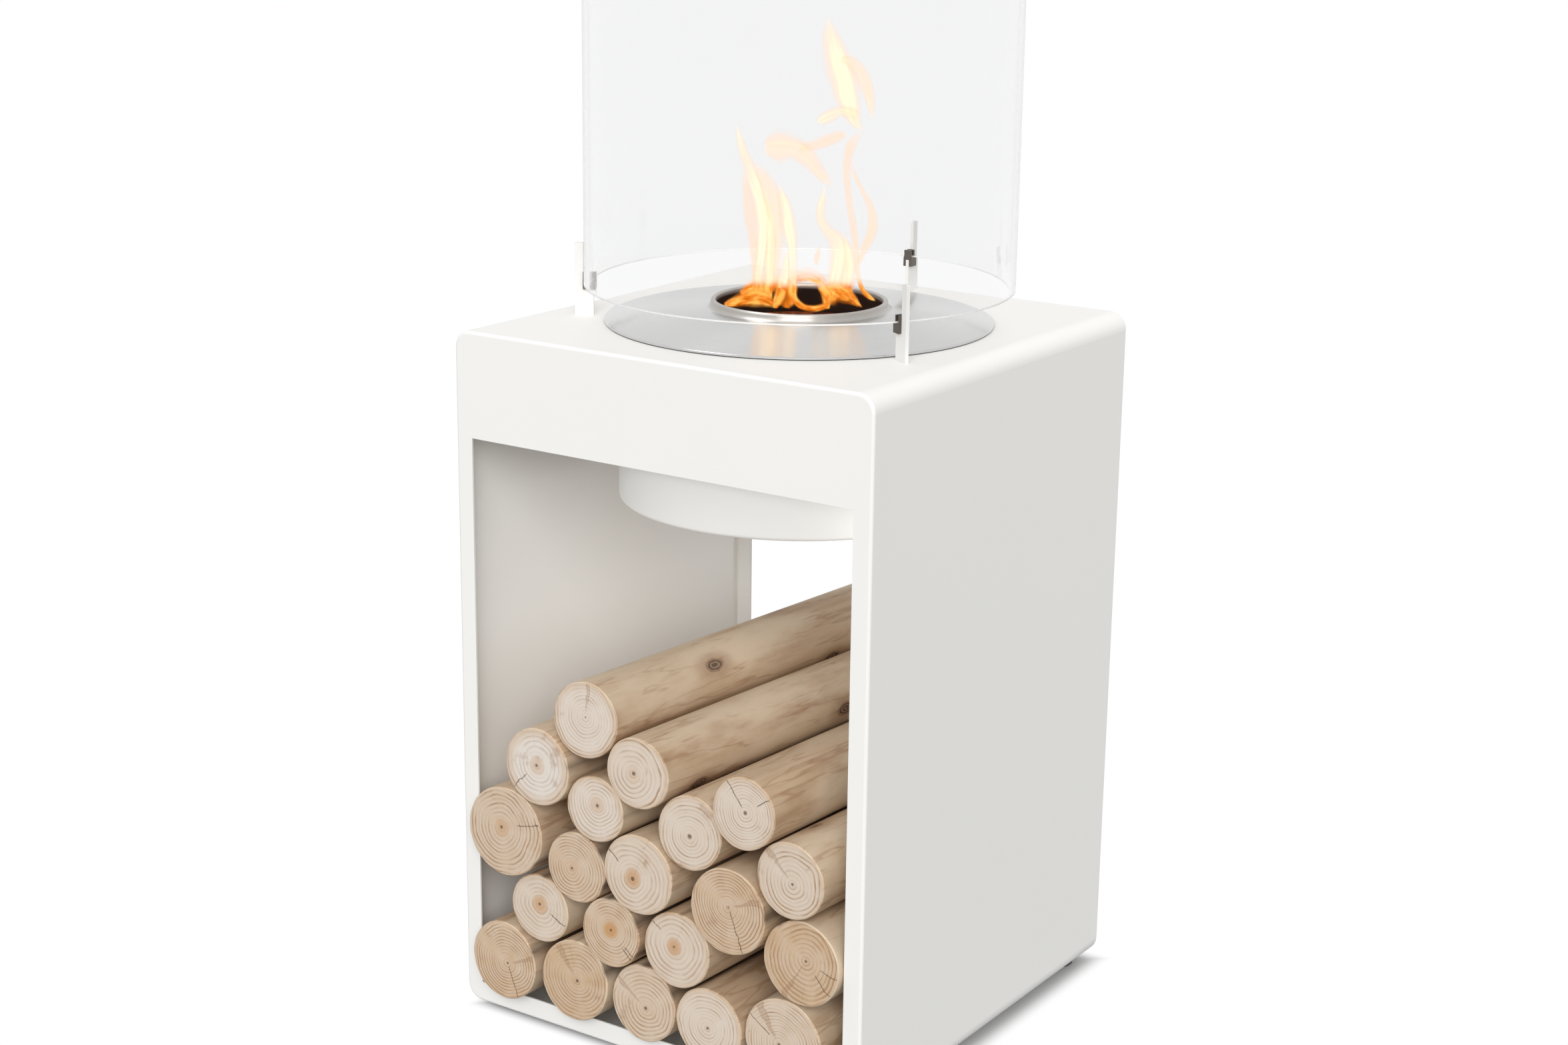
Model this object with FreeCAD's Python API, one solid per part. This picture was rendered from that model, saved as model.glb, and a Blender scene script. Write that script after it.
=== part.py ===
import FreeCAD, Part
import math
import os

from FreeCAD import Vector

# Free-standing ethanol fireplace in millimetres: a folded white steel cabinet on four levelling
# feet, a drop-in stainless burner in its top, a glass cylinder held on three notched posts, and
# peeled round logs stacked in the open store below. The origin is on the floor under the centre of
# the cabinet, +Z is up and -Y is the front.

# Burner
mouth_radius = 93.0          # inside of the collar where the flame comes out
collar_wall = 5.5            # rolled lip round the mouth
collar_rise = 25.5           # lip above the cabinet top
cone_rise = 17.5             # where the cone meets the collar, above the cabinet top
cone_fillet = 5.0
lip_round = 2.6
plate_sheet = 2.0
rim_height = 2.4
rim_round = 1.2
gasket_thickness = 1.0
gasket_width = 9.0
gasket_setback = 0.8         # the seal stops short of the plate's rim
neck_drop = 8.0              # neck reaches this far below the cabinet top
tank_radius = 150.0
tank_sheet = 1.5
tank_depth = 122.0
tank_corner = 6.0
tank_ledge = 3.0             # tank cover inside the neck, which carries the basket
basket_drop = 30.0
basket_sheet = 1.5
basket_lip = 1.0
basket_clearance = 0.4
basket_setback = 2.0         # skirt stands this far inside the tank cover
basket_hole_radius = 4.0
basket_ring_spacing = 23.5
basket_ring_counts = (1, 6, 12, 18)

# Drum that hangs under the top and houses the burner
tank_to_drum = 49.0
drum_depth = 199.5           # below the cabinet top
drum_corner = 5.0
drum_flange = 24.0
drum_stud_count = 8
drum_stud_radius = 2.5
drum_stud_clearance = 0.2
drum_stud_tail = 3.0
drum_nut_height = 4.0
drum_nut_across_flats = 8.0

# Glass and its posts
plate_overlap = 17.5         # burner plate beyond the hole in the top
plate_to_glass = 16.5
glass_wall = 6.0
glass_height = 500.0
glass_lift = 41.0            # air gap between the cabinet top and the glass
glass_arris = 1.0
glass_clearance = 0.3
clip_cheek = 2.5
clip_web = 3.5               # under the glass edge
clip_leg = 7.5               # down each side of the post
clip_grip = 8.0              # up each side of the glass
clip_width = 11.0
clip_grip_width = 9.0
clip_clearance = 0.05
clip_pin_radius = 1.25
post_names = ("rear", "front_left", "front_right")
post_first_angle = 90.0
post_height = 82.0
post_tall_width = 9.4
post_thickness = 4.0
post_top_round = 1.5
post_margin = 18.8           # from the posts' circle to the cabinet's side
tab_inset = 4.0
tab_drop = 15.0
slot_clearance = 0.2
bracket_sheet = 2.0
bracket_foot = 16.0
post_bolt_radius = 2.0
post_bolt_head_radius = 3.8
post_bolt_head_height = 2.2
post_nut_height = 3.2
post_nut_across_flats = 7.0
post_bolt_clearance = 0.1

# Cabinet
sheet = 2.0
body_height = 792.0
floor_gap = 10.0
corner_radius = 20.0         # outside of the loop's bends
edge_radius = 3.5            # outside of the fold between faces and loop
frame_depth = 12.0           # folded rim of the front and rear frames
side_lip = 22.0
base_lip = 24.0
apron_height = 119.0

# Levelling feet
foot_inset = 35.0
foot_pad_radius = 18.0
foot_pad_chamfer = 2.0
foot_pad_seat = 4.0          # floor of the pad under the stud
foot_stud_radius = 4.0
foot_stud_rise = 13.0        # stud above the cabinet's underside
insert_flange_radius = 8.0
insert_flange = 1.5
insert_barrel_radius = 5.5
insert_barrel = 10.0
insert_hole_clearance = 0.05
insert_bore_clearance = 0.1
foot_clearance = 0.3         # between the pad and the insert when screwed home

# Logs, which lie on the front lip and slope down to the tray behind it. Thickness is relative to
# the mean log, slip is how far the log's middle lies behind the cabinet's, a base log has the space
# on its left, and an upper log names the log or lip on each side that it lies on.
log_overhang = 14.0          # upper logs beyond each face
log_chamfer = 1.5
log_gap = 0.4
log_spare_width = 27.0       # free width in the base row
base_logs = (
    (1.04, 2.0, -19.0),
    (1.07, 5.0, -16.0),
    (1.00, 0.4, -12.0),
    (0.98, 0.4, -14.0),
    (1.12, 0.4, -10.0),
)
upper_logs = (
    (0.91, "1", "2", 2.0),
    (0.89, "2", "3", -3.0),
    (0.98, "3", "4", 0.0),
    (1.07, "5", "lip", 5.0),
    (1.18, "lip", "6", -5.0),
    (0.91, "6", "7", 1.0),
    (1.04, "7", "8", -4.0),
    (1.09, "8", "9", -2.0),
    (0.96, "13", "9", 3.0),
    (0.87, "11", "12", 0.0),
    (1.00, "10", "15", -4.0),
    (0.96, "12", "13", 2.0),
    (0.93, "15", "17", -2.0),
    (0.91, "17", "14", -4.0),
    (1.00, "16", "18", 4.0),
)

# Places that follow from the sizes above
drum_inner = tank_radius + tank_to_drum
drum_outer = drum_inner + sheet
plate_radius = drum_inner + plate_overlap
glass_inner = plate_radius + plate_to_glass
glass_outer = glass_inner + glass_wall
clip_inner = glass_inner - glass_clearance - clip_cheek
clip_outer = glass_outer + glass_clearance + clip_cheek
post_outer = clip_outer + post_tall_width
half_width = post_outer + post_margin
half_depth = half_width
base_z = floor_gap
top_z = base_z + body_height
under_z = top_z - sheet
seam_z = base_z + corner_radius
lip_z = base_z + base_lip
window_half = half_width - side_lip
window_top = top_z - apron_height
glass_bottom = top_z + glass_lift
ledge_z = glass_bottom - clip_web
tank_top = top_z - neck_drop
tab_low = top_z - tab_drop
clip_pin_place = (clip_inner + clip_outer) / 2
clip_pin_height = ledge_z - clip_leg / 2
post_bolt_place = (clip_inner + post_outer) / 2
post_bolt_height = (tab_low + under_z - bracket_sheet) / 2
post_bolt_hole = post_bolt_radius + post_bolt_clearance
post_angle_step = 360.0 / len(post_names)
post_angles = {name: post_first_angle + i * post_angle_step for i, name in enumerate(post_names)}
lip_edge = sheet - half_depth
base_log_length = 2 * half_depth
upper_log_length = base_log_length + 2 * log_overhang
base_log_rear = base_log_length / 2 + max(slip for thickness, space, slip in base_logs)
log_slope = (base_lip - sheet) / (base_log_rear - lip_edge)

# Aids for the modelling: a reach beyond everything, and how near two heights count as the same
far = 4 * (half_width + body_height)
same = 1e-4
vertical = Vector(0, 0, 1)
centre = Vector(0, 0, 0)


def block(low, high):
    """Box between two corners."""
    size = [b - a for a, b in zip(low, high)]
    return Part.makeBox(*size, Vector(*low))


def upright(radius, low, high, x=0.0, y=0.0):
    """Vertical cylinder from low to high."""
    return Part.makeCylinder(radius, high - low, Vector(x, y, low))


def turned(points):
    """Closed outline of (radius, height) points turned round the vertical axis."""
    corners = [Vector(r, 0, z) for r, z in points]
    outline = Part.makePolygon(corners + corners[:1])
    return Part.Face(outline).revolve(centre, vertical, 360)


def rounded(solid, radius, wanted):
    """Fillet on the edges that the test picks."""
    edges = [edge for edge in solid.Edges if wanted(edge)]
    return solid.makeFillet(radius, edges)


def ring_edge(radius, height):
    """Test for the circular edge of that radius and height."""
    def wanted(edge):
        box = edge.BoundBox
        level = abs(box.ZMax - height) < same and abs(box.ZMin - height) < same
        return level and abs(box.XMax - radius) < same
    return wanted


def hexagon(across_flats, low, high, x, y):
    """Vertical hexagonal prism for a nut."""
    reach = across_flats / math.sqrt(3)
    turns = [math.radians(60 * i) for i in range(7)]
    corners = [Vector(x + reach * math.cos(a), y + reach * math.sin(a), low) for a in turns]
    return Part.Face(Part.makePolygon(corners)).extrude(Vector(0, 0, high - low))


def about_axis(shape, angle):
    """Copy of the shape turned round the vertical axis, in degrees."""
    copy = shape.copy()
    copy.rotate(centre, vertical, angle)
    return copy


def group(solids):
    """Separate solids that share one node."""
    return Part.makeCompound(solids)


# Cabinet


def loop_slab(inset, front, back):
    """Solid rounded rectangle of the cabinet's outline, set in by the inset."""
    low = (inset - half_width, front, base_z + inset)
    high = (half_width - inset, back, top_z - inset)

    def along_y(edge):
        box = edge.BoundBox
        return box.YLength > box.XLength + box.ZLength

    return rounded(block(low, high), corner_radius - inset, along_y)


def cabinet_loop():
    """Sheet bent round all four corners, between the two face frames."""
    reach = half_depth - frame_depth
    return loop_slab(0.0, -reach, reach).cut(loop_slab(sheet, -half_depth, half_depth))


def at_each_post(shape):
    """The shape turned to each of the three posts."""
    return [about_axis(shape, angle) for angle in post_angles.values()]


def cabinet_wrap():
    """Top and both sides in one bent sheet, with the burner hole and the slots for the posts."""
    wrap = cabinet_loop().common(block((-far, -far, seam_z), (far, far, far)))
    wrap = wrap.cut(upright(drum_inner, under_z - sheet, top_z + sheet))
    half = post_thickness / 2 + slot_clearance
    low = (clip_inner + tab_inset - slot_clearance, -half, under_z - sheet)
    high = (post_outer - tab_inset + slot_clearance, half, top_z + sheet)
    return wrap.cut(at_each_post(block(low, high)))


def foot_places():
    """Corner names with the feet's centres."""
    x = half_width - foot_inset
    y = half_depth - foot_inset
    return {
        "front_left": (-x, -y),
        "front_right": (x, -y),
        "rear_left": (-x, y),
        "rear_right": (x, y),
    }


def base_tray():
    """Bottom sheet with both lower bends and the holes for the foot inserts."""
    tray = cabinet_loop().common(block((-far, -far, -far), (far, far, seam_z)))
    radius = insert_barrel_radius + insert_hole_clearance
    holes = [upright(radius, 0.0, seam_z, x, y) for x, y in foot_places().values()]
    return tray.cut(holes)


def face_frame():
    """Front frame: a folded rim, an apron above and narrow lips round the store's window."""
    front = -half_depth
    rim = front + frame_depth

    def in_plane(place):
        def wanted(edge):
            box = edge.BoundBox
            return abs(box.YMax - place) < same and abs(box.YMin - place) < same
        return wanted

    outer = rounded(loop_slab(0.0, front, rim), edge_radius, in_plane(front))
    hollow = loop_slab(sheet, front + sheet, rim + sheet)
    hollow = rounded(hollow, edge_radius - sheet, in_plane(front + sheet))
    window = block((-window_half, -far, lip_z), (window_half, 0.0, window_top))
    return outer.cut([hollow, window])


# Drum


def drum_stud_places():
    """Centres of the studs on the drum's ring."""
    radius = drum_outer + drum_flange / 2
    turns = [2 * math.pi * (i + 0.5) / drum_stud_count for i in range(drum_stud_count)]
    return [(radius * math.cos(a), radius * math.sin(a)) for a in turns]


def burner_drum():
    """Cup that hangs from the underside of the top."""
    bottom = top_z - drum_depth
    cup = turned((
        (drum_inner, under_z),
        (drum_outer, under_z),
        (drum_outer, bottom),
        (0.0, bottom),
        (0.0, bottom + sheet),
        (drum_inner, bottom + sheet),
    ))
    cup = rounded(cup, drum_corner, ring_edge(drum_outer, bottom))
    return rounded(cup, drum_corner - sheet, ring_edge(drum_inner, bottom + sheet))


def drum_ring():
    """Flat ring welded round the cup's rim, with the holes for the studs."""
    ring = upright(drum_outer + drum_flange, under_z - sheet, under_z)
    ring = ring.cut(upright(drum_outer, under_z - sheet, under_z))
    hole = drum_stud_radius + drum_stud_clearance
    return ring.cut([upright(hole, under_z - sheet, under_z, x, y) for x, y in drum_stud_places()])


def drum_fixings():
    """Welded studs with their nuts, which carry the drum's ring."""
    nut_top = under_z - sheet
    nut_low = nut_top - drum_nut_height
    solids = []
    for x, y in drum_stud_places():
        stud = upright(drum_stud_radius, nut_low - drum_stud_tail, under_z, x, y)
        solids.append(stud.fuse(hexagon(drum_nut_across_flats, nut_low, nut_top, x, y)).removeSplitter())
    return group(solids)


# Burner


def burner_plate():
    """Spun cone with a turned-down rim, a rolled collar round the mouth and a neck below it."""
    seat = top_z + gasket_thickness
    shoulder = seat + rim_height
    collar = mouth_radius + collar_wall
    cone_top = top_z + cone_rise
    crown = top_z + collar_rise
    neck = mouth_radius + plate_sheet
    slope = (cone_top - shoulder) / (plate_radius - collar)
    under_rim = shoulder - plate_sheet + slope * plate_sheet
    under_neck = under_rim + slope * (plate_radius - plate_sheet - neck)
    plate = turned((
        (plate_radius, seat),
        (plate_radius, shoulder),
        (collar, cone_top),
        (collar, crown),
        (mouth_radius, crown),
        (mouth_radius, tank_top),
        (neck, tank_top),
        (neck, under_neck),
        (plate_radius - plate_sheet, under_rim),
        (plate_radius - plate_sheet, seat),
    ))
    plate = rounded(plate, rim_round, ring_edge(plate_radius, shoulder))
    plate = rounded(plate, cone_fillet, ring_edge(collar, cone_top))
    plate = rounded(plate, lip_round, ring_edge(collar, crown))
    return rounded(plate, lip_round, ring_edge(mouth_radius, crown))


def burner_gasket():
    """Flat seal between the plate's rim and the cabinet top."""
    outer = plate_radius - gasket_setback
    ring = upright(outer, top_z, top_z + gasket_thickness)
    return ring.cut(upright(outer - gasket_width, top_z, top_z + gasket_thickness))


def fuel_tank():
    """Round tank under the neck, closed by a cover with an opening for the basket."""
    inner = tank_radius - tank_sheet
    mouth = mouth_radius - tank_ledge
    bottom = tank_top - tank_depth
    tank = turned((
        (mouth, tank_top),
        (tank_radius, tank_top),
        (tank_radius, bottom),
        (0.0, bottom),
        (0.0, bottom + tank_sheet),
        (inner, bottom + tank_sheet),
        (inner, tank_top - tank_sheet),
        (mouth, tank_top - tank_sheet),
    ))
    tank = rounded(tank, tank_corner, ring_edge(tank_radius, bottom))
    return rounded(tank, tank_corner - tank_sheet, ring_edge(inner, bottom + tank_sheet))


def flame_basket():
    """Perforated cup that drops into the neck and hangs by its lip on the tank cover."""
    lip = mouth_radius - basket_clearance
    skirt = mouth_radius - tank_ledge - basket_setback
    inner = skirt - basket_sheet
    bottom = tank_top - basket_drop
    basket = turned((
        (inner, tank_top + basket_lip),
        (lip, tank_top + basket_lip),
        (lip, tank_top),
        (skirt, tank_top),
        (skirt, bottom),
        (0.0, bottom),
        (0.0, bottom + basket_sheet),
        (inner, bottom + basket_sheet),
    ))
    holes = []
    for ring, count in enumerate(basket_ring_counts):
        radius = ring * basket_ring_spacing
        for i in range(count):
            turn = 2 * math.pi * i / count
            x = radius * math.cos(turn)
            y = radius * math.sin(turn)
            holes.append(upright(basket_hole_radius, bottom, bottom + basket_sheet, x, y))
    return basket.cut(holes)


# Glass and what holds it


def glass_screen():
    """Open glass cylinder with ground edges."""
    top = glass_bottom + glass_height
    tube = upright(glass_outer, glass_bottom, top).cut(upright(glass_inner, glass_bottom, top))
    rims = [edge for edge in tube.Edges if edge.BoundBox.ZLength < same]
    return tube.makeChamfer(glass_arris, rims)


def across(radius, low, high, place, height):
    """Cylinder across a post, from low to high along the tangent."""
    return Part.makeCylinder(radius, high - low, Vector(place, low, height), Vector(0, 1, 0))


def glass_post():
    """Notched plate on edge: a ledge for the clip, a tall outer part and a tab through the top."""
    outline = [
        (clip_inner, top_z),
        (clip_inner, ledge_z),
        (clip_outer, ledge_z),
        (clip_outer, top_z + post_height),
        (post_outer, top_z + post_height),
        (post_outer, top_z),
        (post_outer - tab_inset, top_z),
        (post_outer - tab_inset, tab_low),
        (clip_inner + tab_inset, tab_low),
        (clip_inner + tab_inset, top_z),
    ]
    half = post_thickness / 2
    corners = [Vector(r, -half, z) for r, z in outline]
    plate = Part.Face(Part.makePolygon(corners + corners[:1])).extrude(Vector(0, post_thickness, 0))

    def top_corner(edge):
        box = edge.BoundBox
        return box.YLength > half and abs(box.ZMin - top_z - post_height) < same

    plate = rounded(plate, post_top_round, top_corner)
    pin = across(clip_pin_radius + clip_clearance, -half, half, clip_pin_place, clip_pin_height)
    bolt = across(post_bolt_hole, -half, half, post_bolt_place, post_bolt_height)
    return plate.cut([pin, bolt])


def glass_clip():
    """Saddle with a groove for the glass above and a slot over the post's ledge below."""
    half = clip_width / 2
    low = ledge_z - clip_leg
    top = glass_bottom + clip_grip
    clip = block((clip_inner, -half, low), (clip_outer, half, top))
    groove = upright(glass_outer + glass_clearance, glass_bottom, top)
    groove = groove.cut(upright(glass_inner - glass_clearance, glass_bottom, top))
    slot = post_thickness / 2 + clip_clearance
    saddle = block((0.0, -slot, low), (far, slot, ledge_z))
    grip = clip_grip_width / 2
    left_step = block((0.0, -far, glass_bottom), (far, -grip, far))
    right_step = block((0.0, grip, glass_bottom), (far, far, far))
    pin = across(clip_pin_radius + clip_clearance, -half, half, clip_pin_place, clip_pin_height)
    return clip.cut([groove, saddle, left_step, right_step, pin])


def clip_pins():
    """Cross pins that hold the clips on the posts."""
    half = clip_width / 2
    return group(at_each_post(across(clip_pin_radius, -half, half, clip_pin_place, clip_pin_height)))


def post_brackets():
    """Angles under the top, one beside each post's tab."""
    half = post_thickness / 2
    inner = clip_inner + tab_inset
    outer = post_outer - tab_inset
    leg = block((inner, half, tab_low), (outer, half + bracket_sheet, under_z))
    foot = block((inner, half, under_z - bracket_sheet), (outer, half + bracket_foot, under_z))
    hole = across(post_bolt_hole, half, half + bracket_sheet, post_bolt_place, post_bolt_height)
    return group(at_each_post(leg.fuse(foot).removeSplitter().cut(hole)))


def post_bolts():
    """Bolts through the posts' tabs and the brackets, each with its head and nut."""
    near = -post_thickness / 2
    away = post_thickness / 2 + bracket_sheet
    head_end = near - post_bolt_head_height
    nut_end = away + post_nut_height
    shank = across(post_bolt_radius, near, nut_end, post_bolt_place, post_bolt_height)
    head = across(post_bolt_head_radius, head_end, near, post_bolt_place, post_bolt_height)
    nut = hexagon(post_nut_across_flats, away, nut_end, 0.0, 0.0)
    nut.rotate(centre, Vector(1, 0, 0), -90)
    nut.translate(Vector(post_bolt_place, 0.0, post_bolt_height))
    return group(at_each_post(shank.fuse([head, nut]).removeSplitter()))


# Feet


def foot_pad(x, y):
    """Round glide with a blind seat for the stud."""
    top = base_z - insert_flange - foot_clearance
    narrow = foot_pad_radius - foot_pad_chamfer
    pad = turned((
        (0.0, 0.0),
        (narrow, 0.0),
        (foot_pad_radius, foot_pad_chamfer),
        (foot_pad_radius, top - foot_pad_chamfer),
        (narrow, top),
        (foot_stud_radius, top),
        (foot_stud_radius, foot_pad_seat),
        (0.0, foot_pad_seat),
    ))
    pad.translate(Vector(x, y, 0.0))
    return pad


def foot_stud(x, y):
    """Threaded stud of a levelling foot."""
    return upright(foot_stud_radius, foot_pad_seat, base_z + foot_stud_rise, x, y)


def foot_inserts():
    """Flanged threaded inserts in the bottom sheet, one for each foot."""
    solids = []
    for x, y in foot_places().values():
        flange = upright(insert_flange_radius, base_z - insert_flange, base_z, x, y)
        barrel = upright(insert_barrel_radius, base_z, base_z + insert_barrel, x, y)
        bore = foot_stud_radius + insert_bore_clearance
        hole = upright(bore, base_z - insert_flange, base_z + insert_barrel, x, y)
        solids.append(flange.fuse(barrel).removeSplitter().cut(hole))
    return group(solids)


# Logs


def resting_between(left, right, radius):
    """Place of a log of that radius lying in the cradle of two others, all (x, rise, radius)."""
    reach_left = left[2] + radius + log_gap
    reach_right = right[2] + radius + log_gap
    dx = right[0] - left[0]
    dz = right[1] - left[1]
    span = math.hypot(dx, dz)
    along = (reach_left ** 2 - reach_right ** 2 + span ** 2) / (2 * span)
    out = math.sqrt(reach_left ** 2 - along ** 2)
    x = left[0] + (along * dx - out * dz) / span
    rise = left[1] + (along * dz + out * dx) / span
    return (x, rise, radius)


def leaning_on_lip(log, side, radius):
    """Place of a log of that radius lying on another and against the lip on that side."""
    x = side * (window_half - log_gap - radius)
    reach = log[2] + radius + log_gap
    return (x, log[1] + math.sqrt(reach ** 2 - (x - log[0]) ** 2), radius)


def log_places():
    """Each log's (x, rise, radius), with the rise counted square to the logs from the front lip's edge."""
    widths = sum(thickness for thickness, space, slip in base_logs)
    mean_radius = (2 * window_half - log_spare_width) / 2 / widths
    places = {}
    edge = -window_half
    for thickness, space, slip in base_logs:
        radius = thickness * mean_radius
        x = edge + space + radius
        places[str(len(places) + 1)] = (x, log_gap + radius, radius)
        edge = x + radius
    for thickness, left, right, slip in upper_logs:
        radius = thickness * mean_radius
        if left == "lip":
            place = leaning_on_lip(places[right], -1, radius)
        elif right == "lip":
            place = leaning_on_lip(places[left], 1, radius)
        else:
            place = resting_between(places[left], places[right], radius)
        places[str(len(places) + 1)] = place
    return places


def peeled_log(place, length, slip):
    """Straight log with its sawn edges broken, sloping down from the front lip to the tray."""
    x, rise, radius = place
    tilt = math.atan(log_slope)
    log = Part.makeCylinder(radius, length, Vector(x, -length / 2, 0), Vector(0, 1, 0))
    rims = [edge for edge in log.Edges if edge.BoundBox.YLength < same]
    log = log.makeChamfer(log_chamfer, rims)
    log.rotate(centre, Vector(1, 0, 0), -math.degrees(tilt))
    log.translate(Vector(0, slip, lip_z + rise / math.cos(tilt) - log_slope * (slip - lip_edge)))
    return log


def peeled_logs():
    """Node names with their logs."""
    lengths = [base_log_length] * len(base_logs) + [upper_log_length] * len(upper_logs)
    slips = [log[-1] for log in base_logs + upper_logs]
    names = ["log_%02d" % (i + 1) for i in range(len(slips))]
    shapes = map(peeled_log, log_places().values(), lengths, slips)
    return dict(zip(names, shapes))


def all_parts():
    """Node names with their shapes."""
    front = face_frame()
    parts = {
        "cabinet_wrap": cabinet_wrap(),
        "base_tray": base_tray(),
        "front_frame": front,
        "rear_frame": front.mirror(centre, Vector(0, 1, 0)),
        "burner_drum": burner_drum(),
        "drum_ring": drum_ring(),
        "drum_fixings": drum_fixings(),
        "burner_plate": burner_plate(),
        "burner_gasket": burner_gasket(),
        "fuel_tank": fuel_tank(),
        "flame_basket": flame_basket(),
        "glass_screen": glass_screen(),
        "clip_pins": clip_pins(),
        "post_brackets": post_brackets(),
        "post_bolts": post_bolts(),
        "foot_inserts": foot_inserts(),
    }
    post = glass_post()
    clip = glass_clip()
    for name, angle in post_angles.items():
        parts["post_" + name] = about_axis(post, angle)
        parts["clip_" + name] = about_axis(clip, angle)
    for name, (x, y) in foot_places().items():
        parts["foot_pad_" + name] = foot_pad(x, y)
        parts["foot_stud_" + name] = foot_stud(x, y)
    parts.update(peeled_logs())
    return parts


os.makedirs("parts", exist_ok=True)
for name, shape in all_parts().items():
    shape.exportStep("parts/" + name + ".step")
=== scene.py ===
"""Looks of a free-standing ethanol fireplace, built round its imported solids.

The folded steel, the fixings and the feet keep their solids and get painted, plated or moulded
finishes. The burner plate, the glass, the logs and the flames are surfaces worked out here, in
metres and in the solids' own frame.
"""

import functools
import math

import bmesh
import bpy
import numpy as np
from bpy.props import FloatProperty, FloatVectorProperty, IntProperty, PointerProperty
from mathutils import Matrix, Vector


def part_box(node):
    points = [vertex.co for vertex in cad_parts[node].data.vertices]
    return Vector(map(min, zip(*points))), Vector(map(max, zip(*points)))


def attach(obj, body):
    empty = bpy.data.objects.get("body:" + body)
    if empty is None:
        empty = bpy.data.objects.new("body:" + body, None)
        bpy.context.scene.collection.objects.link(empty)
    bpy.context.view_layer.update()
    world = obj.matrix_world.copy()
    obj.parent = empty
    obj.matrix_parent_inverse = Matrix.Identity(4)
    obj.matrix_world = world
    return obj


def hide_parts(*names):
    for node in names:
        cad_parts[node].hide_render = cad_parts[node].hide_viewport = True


bl_info = {
    "name": "Ethanol Fireplace",
    "version": (1, 0, 0),
    "blender": (4, 5, 0),
    "location": "3D View > Sidebar > Fireplace",
    "description": "Finishes, logs, flames and a studio for the solids of an ethanol fireplace",
    "category": "Object",
}

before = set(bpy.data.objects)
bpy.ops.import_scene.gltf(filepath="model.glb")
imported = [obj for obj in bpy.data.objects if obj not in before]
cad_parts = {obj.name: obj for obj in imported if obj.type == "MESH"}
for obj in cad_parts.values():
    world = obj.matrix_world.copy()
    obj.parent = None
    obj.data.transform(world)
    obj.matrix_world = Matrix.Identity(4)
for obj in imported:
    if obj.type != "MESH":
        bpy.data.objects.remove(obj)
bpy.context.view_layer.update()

PAINTED = (
    "cabinet_wrap", "base_tray", "front_frame", "rear_frame", "burner_drum", "drum_ring",
)
POSTS = ("post_front_left", "post_front_right", "post_rear")
PLATED = ("drum_fixings", "post_bolts", "post_brackets", "foot_inserts")
BLACKENED = ("clip_front_left", "clip_front_right", "clip_rear", "clip_pins")
CORNERS = ("front_left", "front_right", "rear_left", "rear_right")
LOGS = tuple("log_%02d" % number for number in range(1, 21))
# How tan the sawn end of each log is, as judged: 0 is fresh, 1 is tan
TONES = (
    0.80, 0.85, 0.62, 0.35, 0.55, 0.40, 0.75, 0.42, 0.90, 0.64,
    0.70, 0.42, 0.80, 0.45, 0.24, 0.05, 0.35, 0.34, 0.32, 0.20,
)
GLASS_IOR = 1.47
UP = np.array((0.0, 0.0, 1.0))
# Lobes of a log's side: share of its radius, waves round it and turn along it
LOBES = ((0.007, 3, -2.0), (0.005, 5, 4.0))
# Dents of a log's side: share of its radius, waves along it and waves round it
DENTS = ((0.006, 9, 2), (0.004, 31, 7))
# Direction that each sun shines from, and its width in degrees
KEY_SUN = ((0.45, -0.78, 0.43), 40.0)
LOW_SUN = ((0.25, -0.95, 0.17), 30.0)
SHEEN_SUN = ((-0.43, -0.20, 0.88), 14.0)
# Place of the soft panel by the store's right wall, its height and its width
STORE_PANEL = ((0.255, 0.05, 0.575), 0.38, 0.44)
NODES_PER_ROW = 14


def color_property(name, description, default):
    """Linear colour that a user can change."""
    return FloatVectorProperty(
        name=name, description=description, subtype="COLOR", size=3, min=0.0, max=4.0, default=default
    )


def length_property(name, description, default):
    """Length in metres that a user can change."""
    return FloatProperty(
        name=name, description=description, unit="LENGTH", subtype="DISTANCE", default=default, precision=4
    )


def share_property(name, description, default):
    """Share from 0 to 1 that a user can change."""
    return FloatProperty(
        name=name, description=description, subtype="FACTOR", min=0.0, max=1.0, default=default
    )


def amount_property(name, description, default):
    """Amount from 0 up that a user can change."""
    return FloatProperty(name=name, description=description, min=0.0, default=default)


def angle_property(name, description, degrees):
    """Angle that a user can change."""
    return FloatProperty(
        name=name, description=description, subtype="ANGLE", unit="ROTATION", default=math.radians(degrees)
    )


class FireplaceFinishes(bpy.types.PropertyGroup):
    """Colours of the steel, glass and plastic."""

    paint: color_property("Paint", "Powder coat of the cabinet and drum", (0.885, 0.879, 0.854))
    # Painted shade: the posts take the cabinet's powder coat made darker, so they show against the white
    # surround
    shaded_post_paint: color_property("Post paint", "Powder coat of the posts", (0.755, 0.748, 0.728))
    stainless: color_property("Stainless", "Brushed plate of the burner", (0.640, 0.640, 0.634))
    heat_stain: color_property("Heat stain", "Brown that flames leave on the lip", (0.560, 0.510, 0.455))
    soot: color_property("Soot", "Inside of the mouth and the basket", (0.022, 0.0080, 0.0040))
    blackened: color_property("Blackened steel", "Saddle clips under the glass", (0.150, 0.132, 0.112))
    zinc: color_property("Zinc", "Studs, bolts, nuts and brackets", (0.58, 0.58, 0.56))
    plastic: color_property("Plastic", "Glides of the levelling feet", (0.035, 0.035, 0.036))
    seal: color_property("Seal", "Flat seal under the burner plate", (0.018, 0.018, 0.018))
    glass: color_property("Glass", "Tint of the glass cylinder", (0.955, 0.956, 0.957))


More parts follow.
